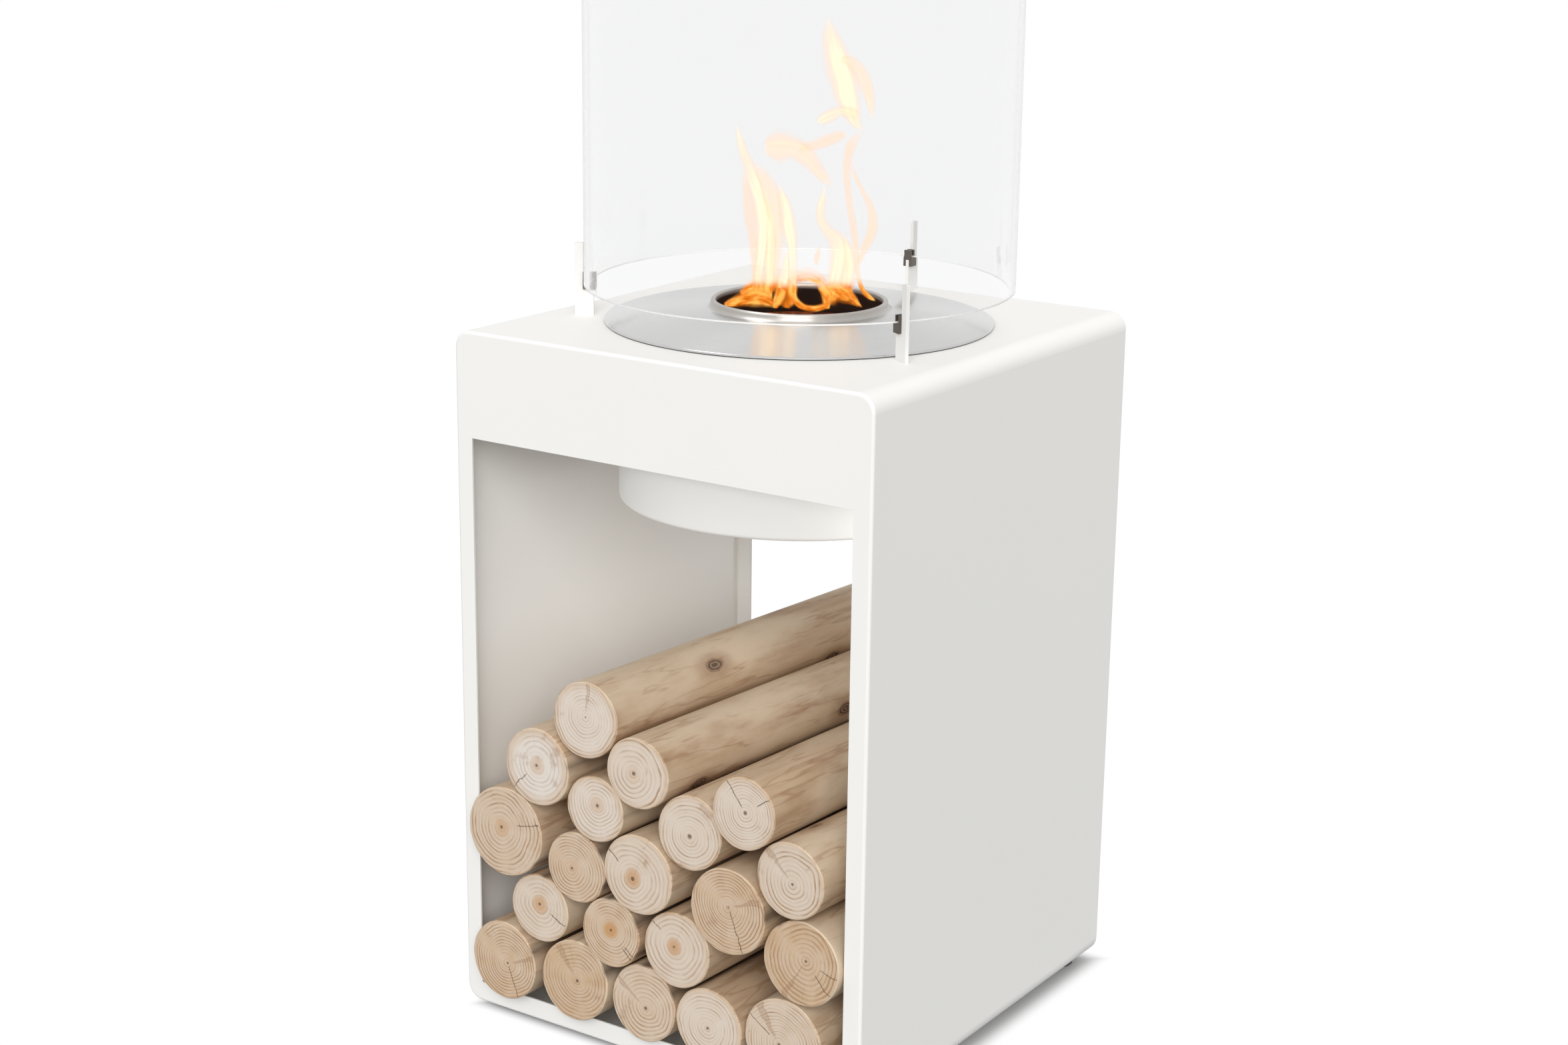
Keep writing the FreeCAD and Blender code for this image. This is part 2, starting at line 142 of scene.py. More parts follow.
class FireplaceBurner(bpy.types.PropertyGroup):
    """Sizes of the spun burner plate and the glass."""

    mouth: length_property("Mouth", "Radius inside the collar", 0.0930)
    collar_wall: length_property("Collar wall", "Thickness of the rolled lip", 0.0055)
    cone_rise: length_property("Cone rise", "From the seal up to where the cone meets the collar", 0.0165)
    rim_height: length_property("Rim", "Height of the turned-down rim", 0.0024)
    sheet: length_property("Sheet", "Thickness of the plate", 0.0020)
    glass_wall: length_property("Glass wall", "Thickness of the glass", 0.0060)


class FireplaceLogs(bpy.types.PropertyGroup):
    """Shape and colours of the peeled logs."""

    fresh: color_property("Fresh wood", "Palest wood of the sawn ends", (0.735, 0.675, 0.610))
    tan: color_property("Tan wood", "Darkest wood of the sawn ends", (0.552, 0.380, 0.226))
    late_wood: color_property("Late wood", "Thin darker line of each growth ring", (0.360, 0.215, 0.115))
    heartwood: color_property("Heartwood", "Orange stain round the pith", (0.520, 0.270, 0.100))
    # The pith colour is also the colour of the painted shade between logs
    pith: color_property("Pith", "Dark core, cracks and knots", (0.075, 0.038, 0.020))
    peeled: color_property("Peeled side", "Wood under the bark", (0.560, 0.399, 0.257))
    pale_side: color_property("Pale side", "Lighter patches of the peeled side", (0.672, 0.538, 0.389))
    bast: color_property("Bast", "Brown streaks left by the inner bark", (0.300, 0.150, 0.070))
    ring_spacing: length_property("Ring spacing", "Width of a growth ring", 0.0042)
    flattening: share_property("Flattening", "How oval a log can be", 0.040)
    taper: share_property("Taper", "How much thinner the rear end can be", 0.035)
    saw_edge: length_property("Sawn edge", "Width of the broken edge at each end", 0.0012)
    # Reach of the painted shade that darkens a log's side between two other logs
    crevice: length_property("Crevice", "How near two other logs have to be for the side to darken", 0.026)
    seed: IntProperty(name="Seed", description="Picks another set of logs", default=7, min=0)


class FireplaceFlames(bpy.types.PropertyGroup):
    """Colours and density of the flames."""

    core: color_property("Core", "Hot middle of a tongue", (1.40, 1.12, 0.76))
    veil: color_property("Veil", "Thin skin of a tongue", (1.22, 0.70, 0.39))
    root_core: color_property("Root core", "Hot flame in the mouth", (1.30, 0.62, 0.120))
    root: color_property("Root", "Low flame in the mouth", (0.92, 0.215, 0.006))
    thin: share_property("Thin", "Opacity of the skin", 0.40)
    thick: share_property("Thick", "Opacity of the hot middle", 0.80)
    dense: amount_property("Dense", "Opacity in the mouth against the one above it", 2.3)
    mirrored: amount_property("Mirrored", "Glow in reflections against the one seen directly", 1.2)
    bow: share_property("Bow", "How far a sheet of flame bows against its width", 0.22)
    fullness: amount_property("Fullness", "Width of a tongue against its marks", 1.55)


class FireplaceStage(bpy.types.PropertyGroup):
    """Camera and light."""

    camera_place: FloatVectorProperty(
        name="Camera", description="Place of the lens", subtype="TRANSLATION", unit="LENGTH",
        size=3, default=(1.5885, -2.3825, 1.3608),
    )
    heading: angle_property("Heading", "Camera's angle round the object from the front", 33.971)
    elevation: angle_property("Elevation", "How far the camera looks down", 15.467)
    roll: angle_property("Roll", "Camera's tilt about its own axis", 0.761)
    lens: FloatProperty(
        name="Lens", description="Focal length on a sensor 36 mm wide", unit="CAMERA", default=59.98
    )
    sky: amount_property("Sky", "Even light from all round", 0.725)
    key: amount_property("Key", "Soft light from behind the camera", 2.13)
    low_key: amount_property("Low key", "Level light that reaches the drum under the apron", 1.68)
    store: amount_property("Store", "Soft light inside the log store, in watts", 0.50)
    sheen: amount_property("Sheen", "Light that only the brushed plate takes", 1.1)
    bounce: share_property("Bounce", "Light that the floor throws up", 0.184)
    contact: length_property("Contact shadow", "How far outside the cabinet the floor is shaded", 0.010)
    depth: length_property("Shadow depth", "How far under the cabinet the shadow is full", 0.018)
    lean: length_property("Shadow lean", "How far the shadow lies to the right and rear", 0.006)


# Shader trees


class Tree:
    """Adds nodes to one shader tree and links them."""

    def __init__(self, tree):
        self.tree = tree

    def node(self, kind, inputs=None, **settings):
        """New node with its settings, then its inputs, each a value or another node's output."""
        made = self.tree.nodes.new(kind)
        row, column = divmod(len(self.tree.nodes), NODES_PER_ROW)
        made.location = (190 * column, -230 * row)
        for name, value in settings.items():
            setattr(made, name, value)
        self.fill(made.inputs, inputs or {})
        return made

    def fill(self, sockets, values):
        """Link outputs to the named sockets, or set the sockets' own values, colours with full alpha."""
        for name, value in values.items():
            socket = sockets[name]
            if isinstance(value, bpy.types.NodeSocket):
                self.tree.links.new(value, socket)
            elif socket.type == "RGBA":
                socket.default_value = (*value[:3], 1.0)
            else:
                socket.default_value = value

    def math(self, operation, first, second=0.0):
        """Result of an operation on one value or two."""
        return self.node("ShaderNodeMath", {0: first, 1: second}, operation=operation).outputs[0]

    def chain(self, operation, values):
        """Operation carried on from value to value."""
        return functools.reduce(lambda first, second: self.math(operation, first, second), values)

    def times(self, *values):
        """Product of the values."""
        return self.chain("MULTIPLY", values)

    def plus(self, *values):
        """Sum of the values."""
        return self.chain("ADD", values)

    def minus(self, *values):
        """First value less the others."""
        return self.chain("SUBTRACT", values)

    def largest(self, *values):
        """Largest of the values."""
        return self.chain("MAXIMUM", values)

    def hypot(self, first, second):
        """Root of the sum of two squares."""
        return self.math("SQRT", self.plus(self.times(first, first), self.times(second, second)))

    def step(self, value, low, high):
        """0 at low, 1 at high and smooth between."""
        inputs = {"Value": value, "From Min": low, "From Max": high}
        return self.node("ShaderNodeMapRange", inputs, interpolation_type="SMOOTHSTEP").outputs[0]

    def span(self, value, low, high):
        """Value from 0 to 1 stretched from low to high."""
        inputs = {"Value": value, "To Min": low, "To Max": high}
        return self.node("ShaderNodeMapRange", inputs).outputs[0]

    def blend(self, share, first, second):
        """First colour where share is 0, second where it is 1."""
        return self.node("ShaderNodeMix", {0: share, 6: first, 7: second}, data_type="RGBA").outputs[2]

    def scaled(self, vector, factors):
        """Vector stretched along each axis."""
        inputs = {0: vector, 1: factors}
        return self.node("ShaderNodeVectorMath", inputs, operation="MULTIPLY").outputs[0]

    def noise(self, vector, scale, detail=3.0, roughness=0.5):
        """Cloudy noise from 0 to 1."""
        inputs = {"Vector": vector, "Scale": scale, "Detail": detail, "Roughness": roughness}
        return self.node("ShaderNodeTexNoise", inputs).outputs[0]

    def sway(self, vector, scale, detail, amount):
        """Cloudy noise about 0, up to half the amount either way."""
        return self.times(self.minus(self.noise(vector, scale, detail), 0.5), amount)

    def dice(self, value):
        """Random number from 0 to 1 for each value."""
        return self.node("ShaderNodeTexWhiteNoise", {"W": value}, noise_dimensions="1D").outputs[0]

    def bump(self, height, strength, distance):
        """Normal from a height."""
        inputs = {"Height": height, "Strength": strength, "Distance": distance}
        return self.node("ShaderNodeBump", inputs).outputs[0]

    def place(self):
        """Object coordinates."""
        return self.node("ShaderNodeTexCoord").outputs["Object"]

    def attribute(self, name, output="Fac"):
        """Attribute of the mesh, as a number or a vector."""
        return self.node("ShaderNodeAttribute", attribute_name=name).outputs[output]

    def axes(self, vector):
        """The three parts of a vector."""
        return self.node("ShaderNodeSeparateXYZ", {0: vector}).outputs

    def group(self, shared, inputs):
        """Outputs of a shared node group with this material's values."""
        return self.node("ShaderNodeGroup", inputs, node_tree=shared).outputs


def shaded(color, share):
    """Colour times a share, or times one share each for red, green and blue."""
    return np.multiply(tuple(color), share)


def shared_group(name, inputs, outputs):
    """New shader group, its tree helper, its input node and its output node."""
    group = bpy.data.node_groups.new(name, "ShaderNodeTree")
    for label, kind in inputs:
        group.interface.new_socket(label, in_out="INPUT", socket_type="NodeSocket" + kind)
    for label, kind in outputs:
        group.interface.new_socket(label, in_out="OUTPUT", socket_type="NodeSocket" + kind)
    tree = Tree(group)
    return group, tree, tree.node("NodeGroupInput").outputs, tree.node("NodeGroupOutput").inputs


def mottle_group():
    """Slow drift of a colour and a fine grain, for paint, plating and mouldings."""
    name = "Mottle"
    if name in bpy.data.node_groups:
        return bpy.data.node_groups[name]
    inputs = (("Color", "Color"), ("Drift", "Float"), ("Drift Scale", "Float"), ("Grain Scale", "Float"))
    outputs = (("Color", "Color"), ("Drift", "Float"), ("Grain", "Float"))
    group, tree, given, result = shared_group(name, inputs, outputs)
    place = tree.place()
    slow = tree.noise(place, given["Drift Scale"], 4.0, 0.55)
    value = tree.plus(tree.times(tree.minus(slow, 0.5), given["Drift"]), 1.0)
    tinted = tree.node("ShaderNodeHueSaturation", {"Value": value, "Color": given["Color"]})
    tree.fill(result, {
        "Color": tinted.outputs[0],
        "Drift": slow,
        "Grain": tree.noise(place, given["Grain Scale"], 2.0, 0.6),
    })
    return group


def ring_brush_group():
    """Fine rings round the vertical axis, as brushing on a lathe leaves."""
    name = "Ring Brushing"
    if name in bpy.data.node_groups:
        return bpy.data.node_groups[name]
    inputs = (("Fineness", "Float"),)
    outputs = (("Streak", "Float"), ("Radius", "Float"), ("Height", "Float"))
    group, tree, given, result = shared_group(name, inputs, outputs)
    axes = tree.axes(tree.place())
    radius = tree.hypot(axes[0], axes[1])
    turn = tree.times(tree.math("ARCTAN2", axes[1], axes[0]), 1.6)
    fine = tree.times(tree.plus(radius, axes[2]), given["Fineness"])
    polar = tree.node("ShaderNodeCombineXYZ", {0: fine, 1: turn}).outputs[0]
    streak = tree.noise(polar, 1.0, 5.0, 0.65)
    tree.fill(result, {"Streak": streak, "Radius": radius, "Height": axes[2]})
    return group


def new_finish(name):
    """New material, its tree helper and its shader."""
    material = bpy.data.materials.new(name)
    material.use_nodes = True
    tree = Tree(material.node_tree)
    return material, tree, material.node_tree.nodes["Principled BSDF"].inputs


def mottled_finish(name, color, drift, grain, rough, bump):
    """New material whose colour drifts slowly over a fine grain, and its shader.

    The drift is an amount and a scale, the grain a scale, the roughness the mask that it follows
    with its lowest and highest value, and the bump a strength and a distance.
    """
    material, tree, shader = new_finish(name)
    values = {"Color": color, "Drift": drift[0], "Drift Scale": drift[1], "Grain Scale": grain}
    mottle = tree.group(mottle_group(), values)
    mask, lowest, highest = rough
    tree.fill(shader, {
        "Base Color": mottle["Color"],
        "Roughness": tree.span(mottle[mask], lowest, highest),
        "Normal": tree.bump(mottle["Grain"], *bump),
    })
    return material, shader


def paint_finish(name, color):
    """Satin powder coat with a faint orange peel."""
    material, shader = mottled_finish(
        name, color, drift=(0.02, 7.0), grain=620.0, rough=("Drift", 0.48, 0.60), bump=(0.10, 0.0004)
    )
    shader["Specular IOR Level"].default_value = 0.30
    return material


def plain_metal_finish(name, color, roughness, drift, grain):
    """Plated or blackened steel with uneven tone and a fine grain."""
    rough = ("Grain", roughness - 0.08, roughness + 0.08)
    material, shader = mottled_finish(
        name, color, drift=(drift, 60.0), grain=grain, rough=rough, bump=(0.15, 0.0002)
    )
    shader["Metallic"].default_value = 1.0
    return material


def moulded_finish(name, color, roughness, grain):
    """Moulded plastic or rubber with a matt grain."""
    rough = ("Grain", roughness - 0.1, roughness + 0.1)
    material, _ = mottled_finish(
        name, color, drift=(0.25, 45.0), grain=grain, rough=rough, bump=(0.3, 0.0003)
    )
    return material


def stainless_finish(finishes, burner, lip_height):
    """Brushed stainless, stained brown on the rolled lip and sooted down inside the mouth."""
    material, tree, shader = new_finish("brushed_stainless")
    rings = tree.group(ring_brush_group(), {"Fineness": 900.0})
    steel = finishes.stainless
    brushed = tree.blend(rings["Streak"], shaded(steel, 0.86), shaded(steel, 1.10))
    collar = burner.mouth + burner.collar_wall
    stained = tree.step(rings["Radius"], collar + 0.006, collar)
    cloud = tree.noise(tree.place(), 38.0, 4.0, 0.6)
    stain_share = tree.times(stained, tree.span(cloud, 0.35, 0.95))
    color = tree.blend(stain_share, brushed, finishes.heat_stain)
    inside = tree.step(rings["Radius"], burner.mouth + 0.0022, burner.mouth + 0.0006)
    below = tree.step(rings["Height"], lip_height - 0.002, lip_height - 0.007)
    sooted = tree.times(inside, below)
    worn = tree.span(rings["Streak"], 0.17, 0.30)
    tree.fill(shader, {
        "Base Color": tree.blend(sooted, color, finishes.soot),
        "Metallic": tree.minus(1.0, sooted),
        "Specular IOR Level": 0.0,
        "Roughness": tree.plus(worn, tree.times(stained, 0.22), tree.times(sooted, 0.2)),
        "Normal": tree.bump(rings["Streak"], 0.10, 0.0002),
        "Tangent": tree.node("ShaderNodeTangent", direction_type="RADIAL", axis="Z").outputs[0],
        "Anisotropic": 0.80,
        "Anisotropic Rotation": 0.25,
    })
    return material


def tank_finish(finishes):
    """Dull spun stainless of the hidden tank."""
    material, tree, shader = new_finish("tank_stainless")
    rings = tree.group(ring_brush_group(), {"Fineness": 500.0})
    steel = finishes.stainless
    tree.fill(shader, {
        "Base Color": tree.blend(rings["Streak"], shaded(steel, 0.72), steel),
        "Metallic": 1.0,
        "Roughness": tree.span(rings["Streak"], 0.34, 0.48),
        "Normal": tree.bump(rings["Streak"], 0.12, 0.0002),
    })
    return material


def basket_finish(finishes):
    """Steel burnt brown and black by the flame; its red-brown is partly painted glow of the flames."""
    material, tree, shader = new_finish("burnt_steel_and_glow")
    rings = tree.group(ring_brush_group(), {"Fineness": 260.0})
    cloud = tree.noise(tree.place(), 55.0, 5.0, 0.65)
    # Red-brown of burnt steel, partly painted glow that the flames throw into the basket
    brown = shaded(finishes.heat_stain, (0.50, 0.13, 0.04))
    tree.fill(shader, {
        "Base Color": tree.blend(tree.step(cloud, 0.32, 0.60), finishes.soot, brown),
        "Specular IOR Level": 0.0,
        "Roughness": tree.span(rings["Streak"], 0.60, 0.85),
        "Normal": tree.bump(cloud, 0.25, 0.0006),
    })
    return material


def glass_finish(finishes):
    """Clear glass with a faint polish haze."""
    material, tree, shader = new_finish("clear_glass")
    haze = tree.noise(tree.place(), 9.0, 3.0, 0.5)
    tree.fill(shader, {
        "Base Color": tree.blend(haze, shaded(finishes.glass, 0.985), finishes.glass),
        "Roughness": tree.span(haze, 0.0, 0.02),
        "Transmission Weight": 1.0,
        "IOR": GLASS_IOR,
        "Specular Tint": (0.1, 0.1, 0.1),
    })
    return material


def ground_edge_finish():
    """Ground edge of the glass: white, half clear and scratched."""
    material, tree, shader = new_finish("ground_glass")
    scratch = tree.noise(tree.place(), 700.0, 3.0, 0.6)
    tree.fill(shader, {
        "Base Color": tree.blend(scratch, (0.86, 0.88, 0.87), (0.95, 0.96, 0.95)),
        "Roughness": tree.span(scratch, 0.45, 0.65),
        "Normal": tree.bump(scratch, 0.2, 0.0002),
        "Transmission Weight": 0.5,
        "IOR": GLASS_IOR,
    })
    return material


def log_grain_group():
    """Places on a log from its own grain attribute, shared by its sawn ends and its peeled side.

    Depth is the distance from the pith line, wandering with a slow noise, Turn the angle round it,
    and Along the grain vector pressed together along the log, so that noise on it makes streaks.
    """
    name = "Log Grain"
    if name in bpy.data.node_groups:
        return bpy.data.node_groups[name]
    outputs = (
        ("Depth", "Float"), ("Turn", "Float"), ("Along", "Vector"), ("Grain", "Vector"),
        ("Tone", "Float"), ("Rim", "Float"),
    )
    group, tree, _, result = shared_group(name, (), outputs)
    grain = tree.attribute("grain", "Vector")
    axes = tree.axes(grain)
    tree.fill(result, {
        "Depth": tree.plus(tree.hypot(axes[0], axes[2]), tree.sway(grain, 24.0, 2.0, 0.0100)),
        "Turn": tree.math("ARCTAN2", axes[2], axes[0]),
        "Along": tree.scaled(grain, (1.0, 0.055, 1.0)),
        "Grain": grain,
        "Tone": tree.attribute("tone"),
        "Rim": tree.attribute("rim"),
    })
    return group


def log_pick(tree, log, number):
    """Value from 0 to 1 that is the same all over a log and differs between logs and numbers."""
    return tree.dice(tree.plus(tree.times(log["Tone"], 91.7), number))


def log_ray(tree, log, number, likely, sway):
    """Ray out from the pith: 1 on the share of logs that have it, and the angle from its bearing.

    The bearing is picked for each log, and the angle sways by a noise of given scale, detail and
    amount.
    """
    bearing = tree.span(log_pick(tree, log, number), -2.6, 2.6)
    has_ray = tree.step(log_pick(tree, log, number + 0.37), likely, likely - 0.01)
    turned = tree.plus(tree.minus(log["Turn"], bearing), tree.sway(log["Grain"], *sway))
    return has_ray, tree.math("ABSOLUTE", turned)


def crack_mask(tree, log, number, likely):
    """Thin radial crack on a share of the logs, from a picked depth out to the rim."""
    has_crack, apart = log_ray(tree, log, number, likely, (150.0, 2.0, 0.15))
    start = tree.times(log_pick(tree, log, number + 0.71), 0.026)
    line = tree.step(tree.times(apart, log["Depth"]), 0.0009, 0.0003)
    begun = tree.step(log["Depth"], start, tree.plus(start, 0.004))
    return tree.times(has_crack, line, begun)


def branch_masks(tree, log, number, likely):
    """Wedge that a branch leaves in the end grain on a share of the logs, and the wedge's dark sides.

    The wedge lies within a picked angle of a picked bearing and runs from near the pith to the rim.
    """
    has_branch, apart = log_ray(tree, log, number, likely, (90.0, 4.0, 0.34))
    half = tree.span(log_pick(tree, log, number + 0.71), 0.05, 0.14)
    inner = tree.math("DIVIDE", apart, half)
    shown = tree.times(has_branch, tree.step(log["Depth"], 0.004, 0.012))
    wedge = tree.times(tree.step(inner, 1.7, 0.5), shown)
    sides = tree.times(tree.step(inner, 1.2, 0.9), shown, tree.step(inner, 0.6, 0.9))
    return wedge, sides


def ring_mask(tree, log, ring_spacing):
    """Thin late-wood line of each growth ring, stronger in some years and towards the rim.

    A year is the whole part of depth / spacing plus a slow noise, and the line lies late in it.
    """
    spacing = tree.times(tree.span(log_pick(tree, log, 1.0), 0.8, 1.35), ring_spacing)
    stretch = tree.noise(tree.scaled(log["Grain"], (1.0, 0.02, 1.0)), 12.0, 2.0)
    age = tree.plus(tree.math("DIVIDE", log["Depth"], spacing), tree.times(stretch, 2.2))
    phase = tree.math("FRACT", age)
    season = tree.dice(tree.plus(tree.math("FLOOR", age), tree.times(log["Tone"], 57.0)))
    line = tree.times(tree.step(phase, 0.40, 0.90), tree.step(phase, 1.0, 0.92))
    line = tree.times(line, tree.span(season, 0.35, 1.60))
    slow = tree.noise(tree.scaled(log["Grain"], (1.0, 0.0, 1.0)), 30.0, 2.0)
    strength = tree.times(tree.step(slow, 0.30, 0.66), tree.span(log["Rim"], 0.40, 0.95))
    return tree.times(line, strength, tree.span(log["Tone"], 0.60, 1.60))


def sawn_end_finish(logs):
    """Growth rings, a stained pith, branch wedges, a few radial cracks and saw marks."""
    material, tree, shader = new_finish("sawn_wood")
    log = tree.group(log_grain_group(), {})
    grain, depth = log["Grain"], log["Depth"]
    ring = ring_mask(tree, log, logs.ring_spacing)
    cloud = tree.noise(grain, 42.0, 3.0, 0.6)
    share = tree.times(log["Tone"], tree.span(cloud, 0.50, 1.40))
    edge_share = tree.times(tree.step(log["Rim"], 0.60, 1.0), 0.60)
    base = tree.blend(tree.largest(share, edge_share), logs.fresh, logs.tan)
    ringed = tree.blend(ring, base, logs.late_wood)
    orange = tree.step(log_pick(tree, log, 2.0), 0.35, 0.75)
    halo = tree.times(tree.step(depth, 0.014, 0.005), orange, 0.85)
    hearted = tree.blend(halo, ringed, logs.heartwood)
    specks = tree.step(tree.noise(grain, 85.0, 4.0, 0.7), 0.66, 0.76)
    stain = tree.step(tree.noise(grain, 27.0, 5.0, 0.68), 0.60, 0.74)
    wedge, sides = branch_masks(tree, log, number=7.0, likely=0.35)
    marks = tree.largest(tree.times(tree.largest(specks, stain), 0.42), tree.times(wedge, 0.38))
    dotted = tree.blend(marks, hearted, logs.bast)
    core = tree.step(depth, 0.0025, 0.0008)
    cracks = tree.largest(
        crack_mask(tree, log, number=3.0, likely=0.55), crack_mask(tree, log, number=5.3, likely=0.40)
    )
    dark = tree.largest(tree.times(core, 0.8), tree.times(cracks, 0.85), tree.times(sides, 0.25))
    saw = tree.noise(tree.scaled(grain, (60.0, 1.0, 1400.0)), 1.0, 2.0)
    relief = tree.minus(tree.plus(saw, tree.times(ring, 0.6)), dark)
    tree.fill(shader, {
        "Base Color": tree.blend(dark, dotted, logs.pith),
        "Normal": tree.bump(relief, 0.18, 0.0008),
        "Roughness": tree.span(cloud, 0.66, 0.84),
    })
    return material


def knot_masks(tree, grain):
    """Knot in some cells of a cell pattern, the wider halo round it and the dark rings in it."""
    inputs = {"Vector": tree.scaled(grain, (1.0, 0.5, 1.0)), "Scale": 17.0}
    cells = tree.node("ShaderNodeTexVoronoi", inputs).outputs
    picked = tree.node("ShaderNodeSeparateColor", {0: cells["Color"]}).outputs[0]
    chosen = tree.step(picked, 0.58, 0.62)
    edge = tree.plus(cells["Distance"], tree.times(tree.noise(grain, 120.0), 0.06))
    knot = tree.times(tree.step(edge, 0.19, 0.15), chosen)
    halo = tree.times(tree.step(edge, 0.42, 0.17), chosen, 0.55)
    eye = tree.math("ABSOLUTE", tree.math("SINE", tree.times(edge, 62.0)))
    return knot, halo, tree.times(knot, tree.span(eye, 0.25, 1.0))


def peeled_side_finish(logs):
    """Smooth wood under the bark: brown streaks along the log, ringed knots, painted shade between other
    logs.
    """
    material, tree, shader = new_finish("peeled_wood")
    log = tree.group(log_grain_group(), {})
    grain = log["Grain"]
    streak = tree.noise(log["Along"], 60.0, 5.0, 0.62)
    patch = tree.noise(tree.scaled(grain, (1.0, 0.3, 1.0)), 17.0, 4.0, 0.6)
    light = tree.blend(tree.step(patch, 0.36, 0.64), logs.peeled, logs.pale_side)
    brown_share = tree.times(tree.step(streak, 0.46, 0.70), tree.step(patch, 0.62, 0.36), 0.55)
    streaked = tree.blend(brown_share, light, logs.bast)
    swirl = tree.noise(tree.scaled(grain, (1.0, 0.10, 1.0)), 42.0, 3.0, 0.55)
    thread = tree.step(tree.math("ABSOLUTE", tree.minus(swirl, 0.5)), 0.030, 0.0)
    thread_share = tree.times(thread, tree.step(patch, 0.66, 0.46), 0.42)
    threaded = tree.blend(thread_share, streaked, logs.bast)
    knot, halo, knot_rings = knot_masks(tree, grain)
    haloed = tree.blend(halo, threaded, logs.bast)
    knotted = tree.blend(knot_rings, haloed, logs.pith)
    # Painted shade: the side turns towards the pith colour where two other logs lie close
    painted_shade = tree.times(tree.step(tree.attribute("crevice"), 0.05, 0.65), 0.85)
    fibre = tree.noise(tree.scaled(grain, (1.0, 0.03, 1.0)), 420.0, 3.0, 0.6)
    relief = tree.plus(tree.times(fibre, 0.5), tree.plus(streak, knot))
    tree.fill(shader, {
        "Base Color": tree.blend(painted_shade, knotted, logs.pith),
        "Normal": tree.bump(relief, 0.25, 0.0010),
        "Roughness": tree.span(streak, 0.50, 0.72),
    })
    return material


def flame_finish(flames, lip):
    """Glowing gas: a peach veil with a pale core above the lip, orange below it, faded at each end.

    A sheet seen edge on fades out, and one seen in the polished plate glows stronger.
    """
    material, tree, shader = new_finish("flame")
    axes = tree.axes(tree.node("ShaderNodeUVMap", uv_map="tongue").outputs[0])
    gas = tree.attribute("gas", "Vector")
    side = tree.math("ABSOLUTE", tree.minus(tree.times(axes[0], 2.0), 1.0))
    edge = tree.plus(side, tree.sway(tree.scaled(gas, (1.0, 0.4, 1.0)), 70.0, 2.0, 0.5))
    strand = tree.step(tree.noise(tree.scaled(gas, (1.0, 0.10, 1.0)), 150.0, 1.0), 0.30, 0.70)
    hot = tree.times(tree.step(edge, 0.85, 0.20), tree.attribute("hotness"))
    pale = tree.times(hot, tree.span(strand, 0.70, 1.15))
    risen = tree.step(tree.axes(tree.place())[2], lip + 0.012, lip + 0.023)
    tear = tree.noise(tree.scaled(gas, (1.0, 0.35, 1.0)), 130.0, 2.0, 0.6)
    low = tree.blend(tree.step(tear, 0.40, 0.66), flames.root, flames.root_core)
    high = tree.blend(pale, flames.veil, flames.core)
    mirrored = tree.node("ShaderNodeLightPath").outputs["Is Reflection Ray"]
    veiled = tree.times(tree.step(edge, 1.00, 0.35), tree.span(strand, 0.80, 1.0))
    ends = tree.times(tree.step(axes[1], 0.0, 0.08), tree.step(axes[1], 1.0, 0.80))
    turned = tree.step(tree.node("ShaderNodeLayerWeight").outputs["Facing"], 0.55, 0.25)
    torn = tree.times(tree.span(tree.step(tear, 0.28, 0.50), 0.45, 1.0), flames.dense)
    share = tree.node("ShaderNodeMix", {0: risen, 2: torn, 3: 1.0}, data_type="FLOAT").outputs[0]
    deep = tree.times(tree.span(pale, flames.thin, flames.thick), share)
    tree.fill(shader, {
        "Base Color": (0.0, 0.0, 0.0),
        "Specular IOR Level": 0.0,
        "Roughness": 1.0,
        "Emission Color": tree.blend(risen, low, high),
        "Emission Strength": tree.span(mirrored, 1.0, flames.mirrored),
        "Alpha": tree.times(tree.times(veiled, ends, turned), deep),
    })
    return material


# Surfaces


def unit(vectors):
    """Vectors of length 1 along these."""
    return vectors / np.linalg.norm(vectors, axis=-1, keepdims=True)


def grid_faces(rows, columns, closed_rows=False):
    """Quads of a grid of points stored row by row, joined across its last and first column."""
    row = np.arange(rows if closed_rows else rows - 1)[:, None]
    column = np.arange(columns)[None, :]
    next_row = (row + 1) % rows
    next_column = (column + 1) % columns
    corners = (
        row * columns + column, row * columns + next_column,
        next_row * columns + next_column, next_row * columns + column,
    )
    return np.stack(np.broadcast_arrays(*corners), axis=-1).reshape(-1, 4)


def rounded_outline(corners, radii, steps=9, margin=0.0001):
    """Closed outline with each corner rounded.

    Near a corner c the line runs from a to b, its points at that distance on either side, as
    (1 - t)^2 a + 2 t (1 - t) c + t^2 b, which leaves both sides along their own directions. One more
    point on each side, a margin further out, keeps the shading of the flat stretch flat.
    """
    corners = np.asarray(corners, float)
    radii = np.asarray(radii, float)[:, None]
    back = unit(np.roll(corners, 1, axis=0) - corners)
    ahead = unit(np.roll(corners, -1, axis=0) - corners)
    start = corners + back * radii
    end = corners + ahead * radii
    t = np.linspace(0.0, 1.0, steps)[None, :, None]
    bend = (1 - t) ** 2 * start[:, None] + 2 * t * (1 - t) * corners[:, None] + t ** 2 * end[:, None]
    before = (start + back * margin)[:, None]
    after = (end + ahead * margin)[:, None]
    return np.concatenate((before, bend, after), axis=1).reshape(-1, 2)


def spun_mesh(name, outline, columns):
    """Closed outline turned round the vertical axis: (r cos a, r sin a, z) at each point and angle."""
    angle = np.linspace(0.0, 2 * np.pi, columns, endpoint=False)[None, :]
    radius = outline[:, :1]
    height = np.broadcast_to(outline[:, 1:], (len(outline), columns))
    points = np.stack((radius * np.cos(angle), radius * np.sin(angle), height), axis=-1)
    return new_mesh(name, points, grid_faces(len(outline), columns, closed_rows=True))


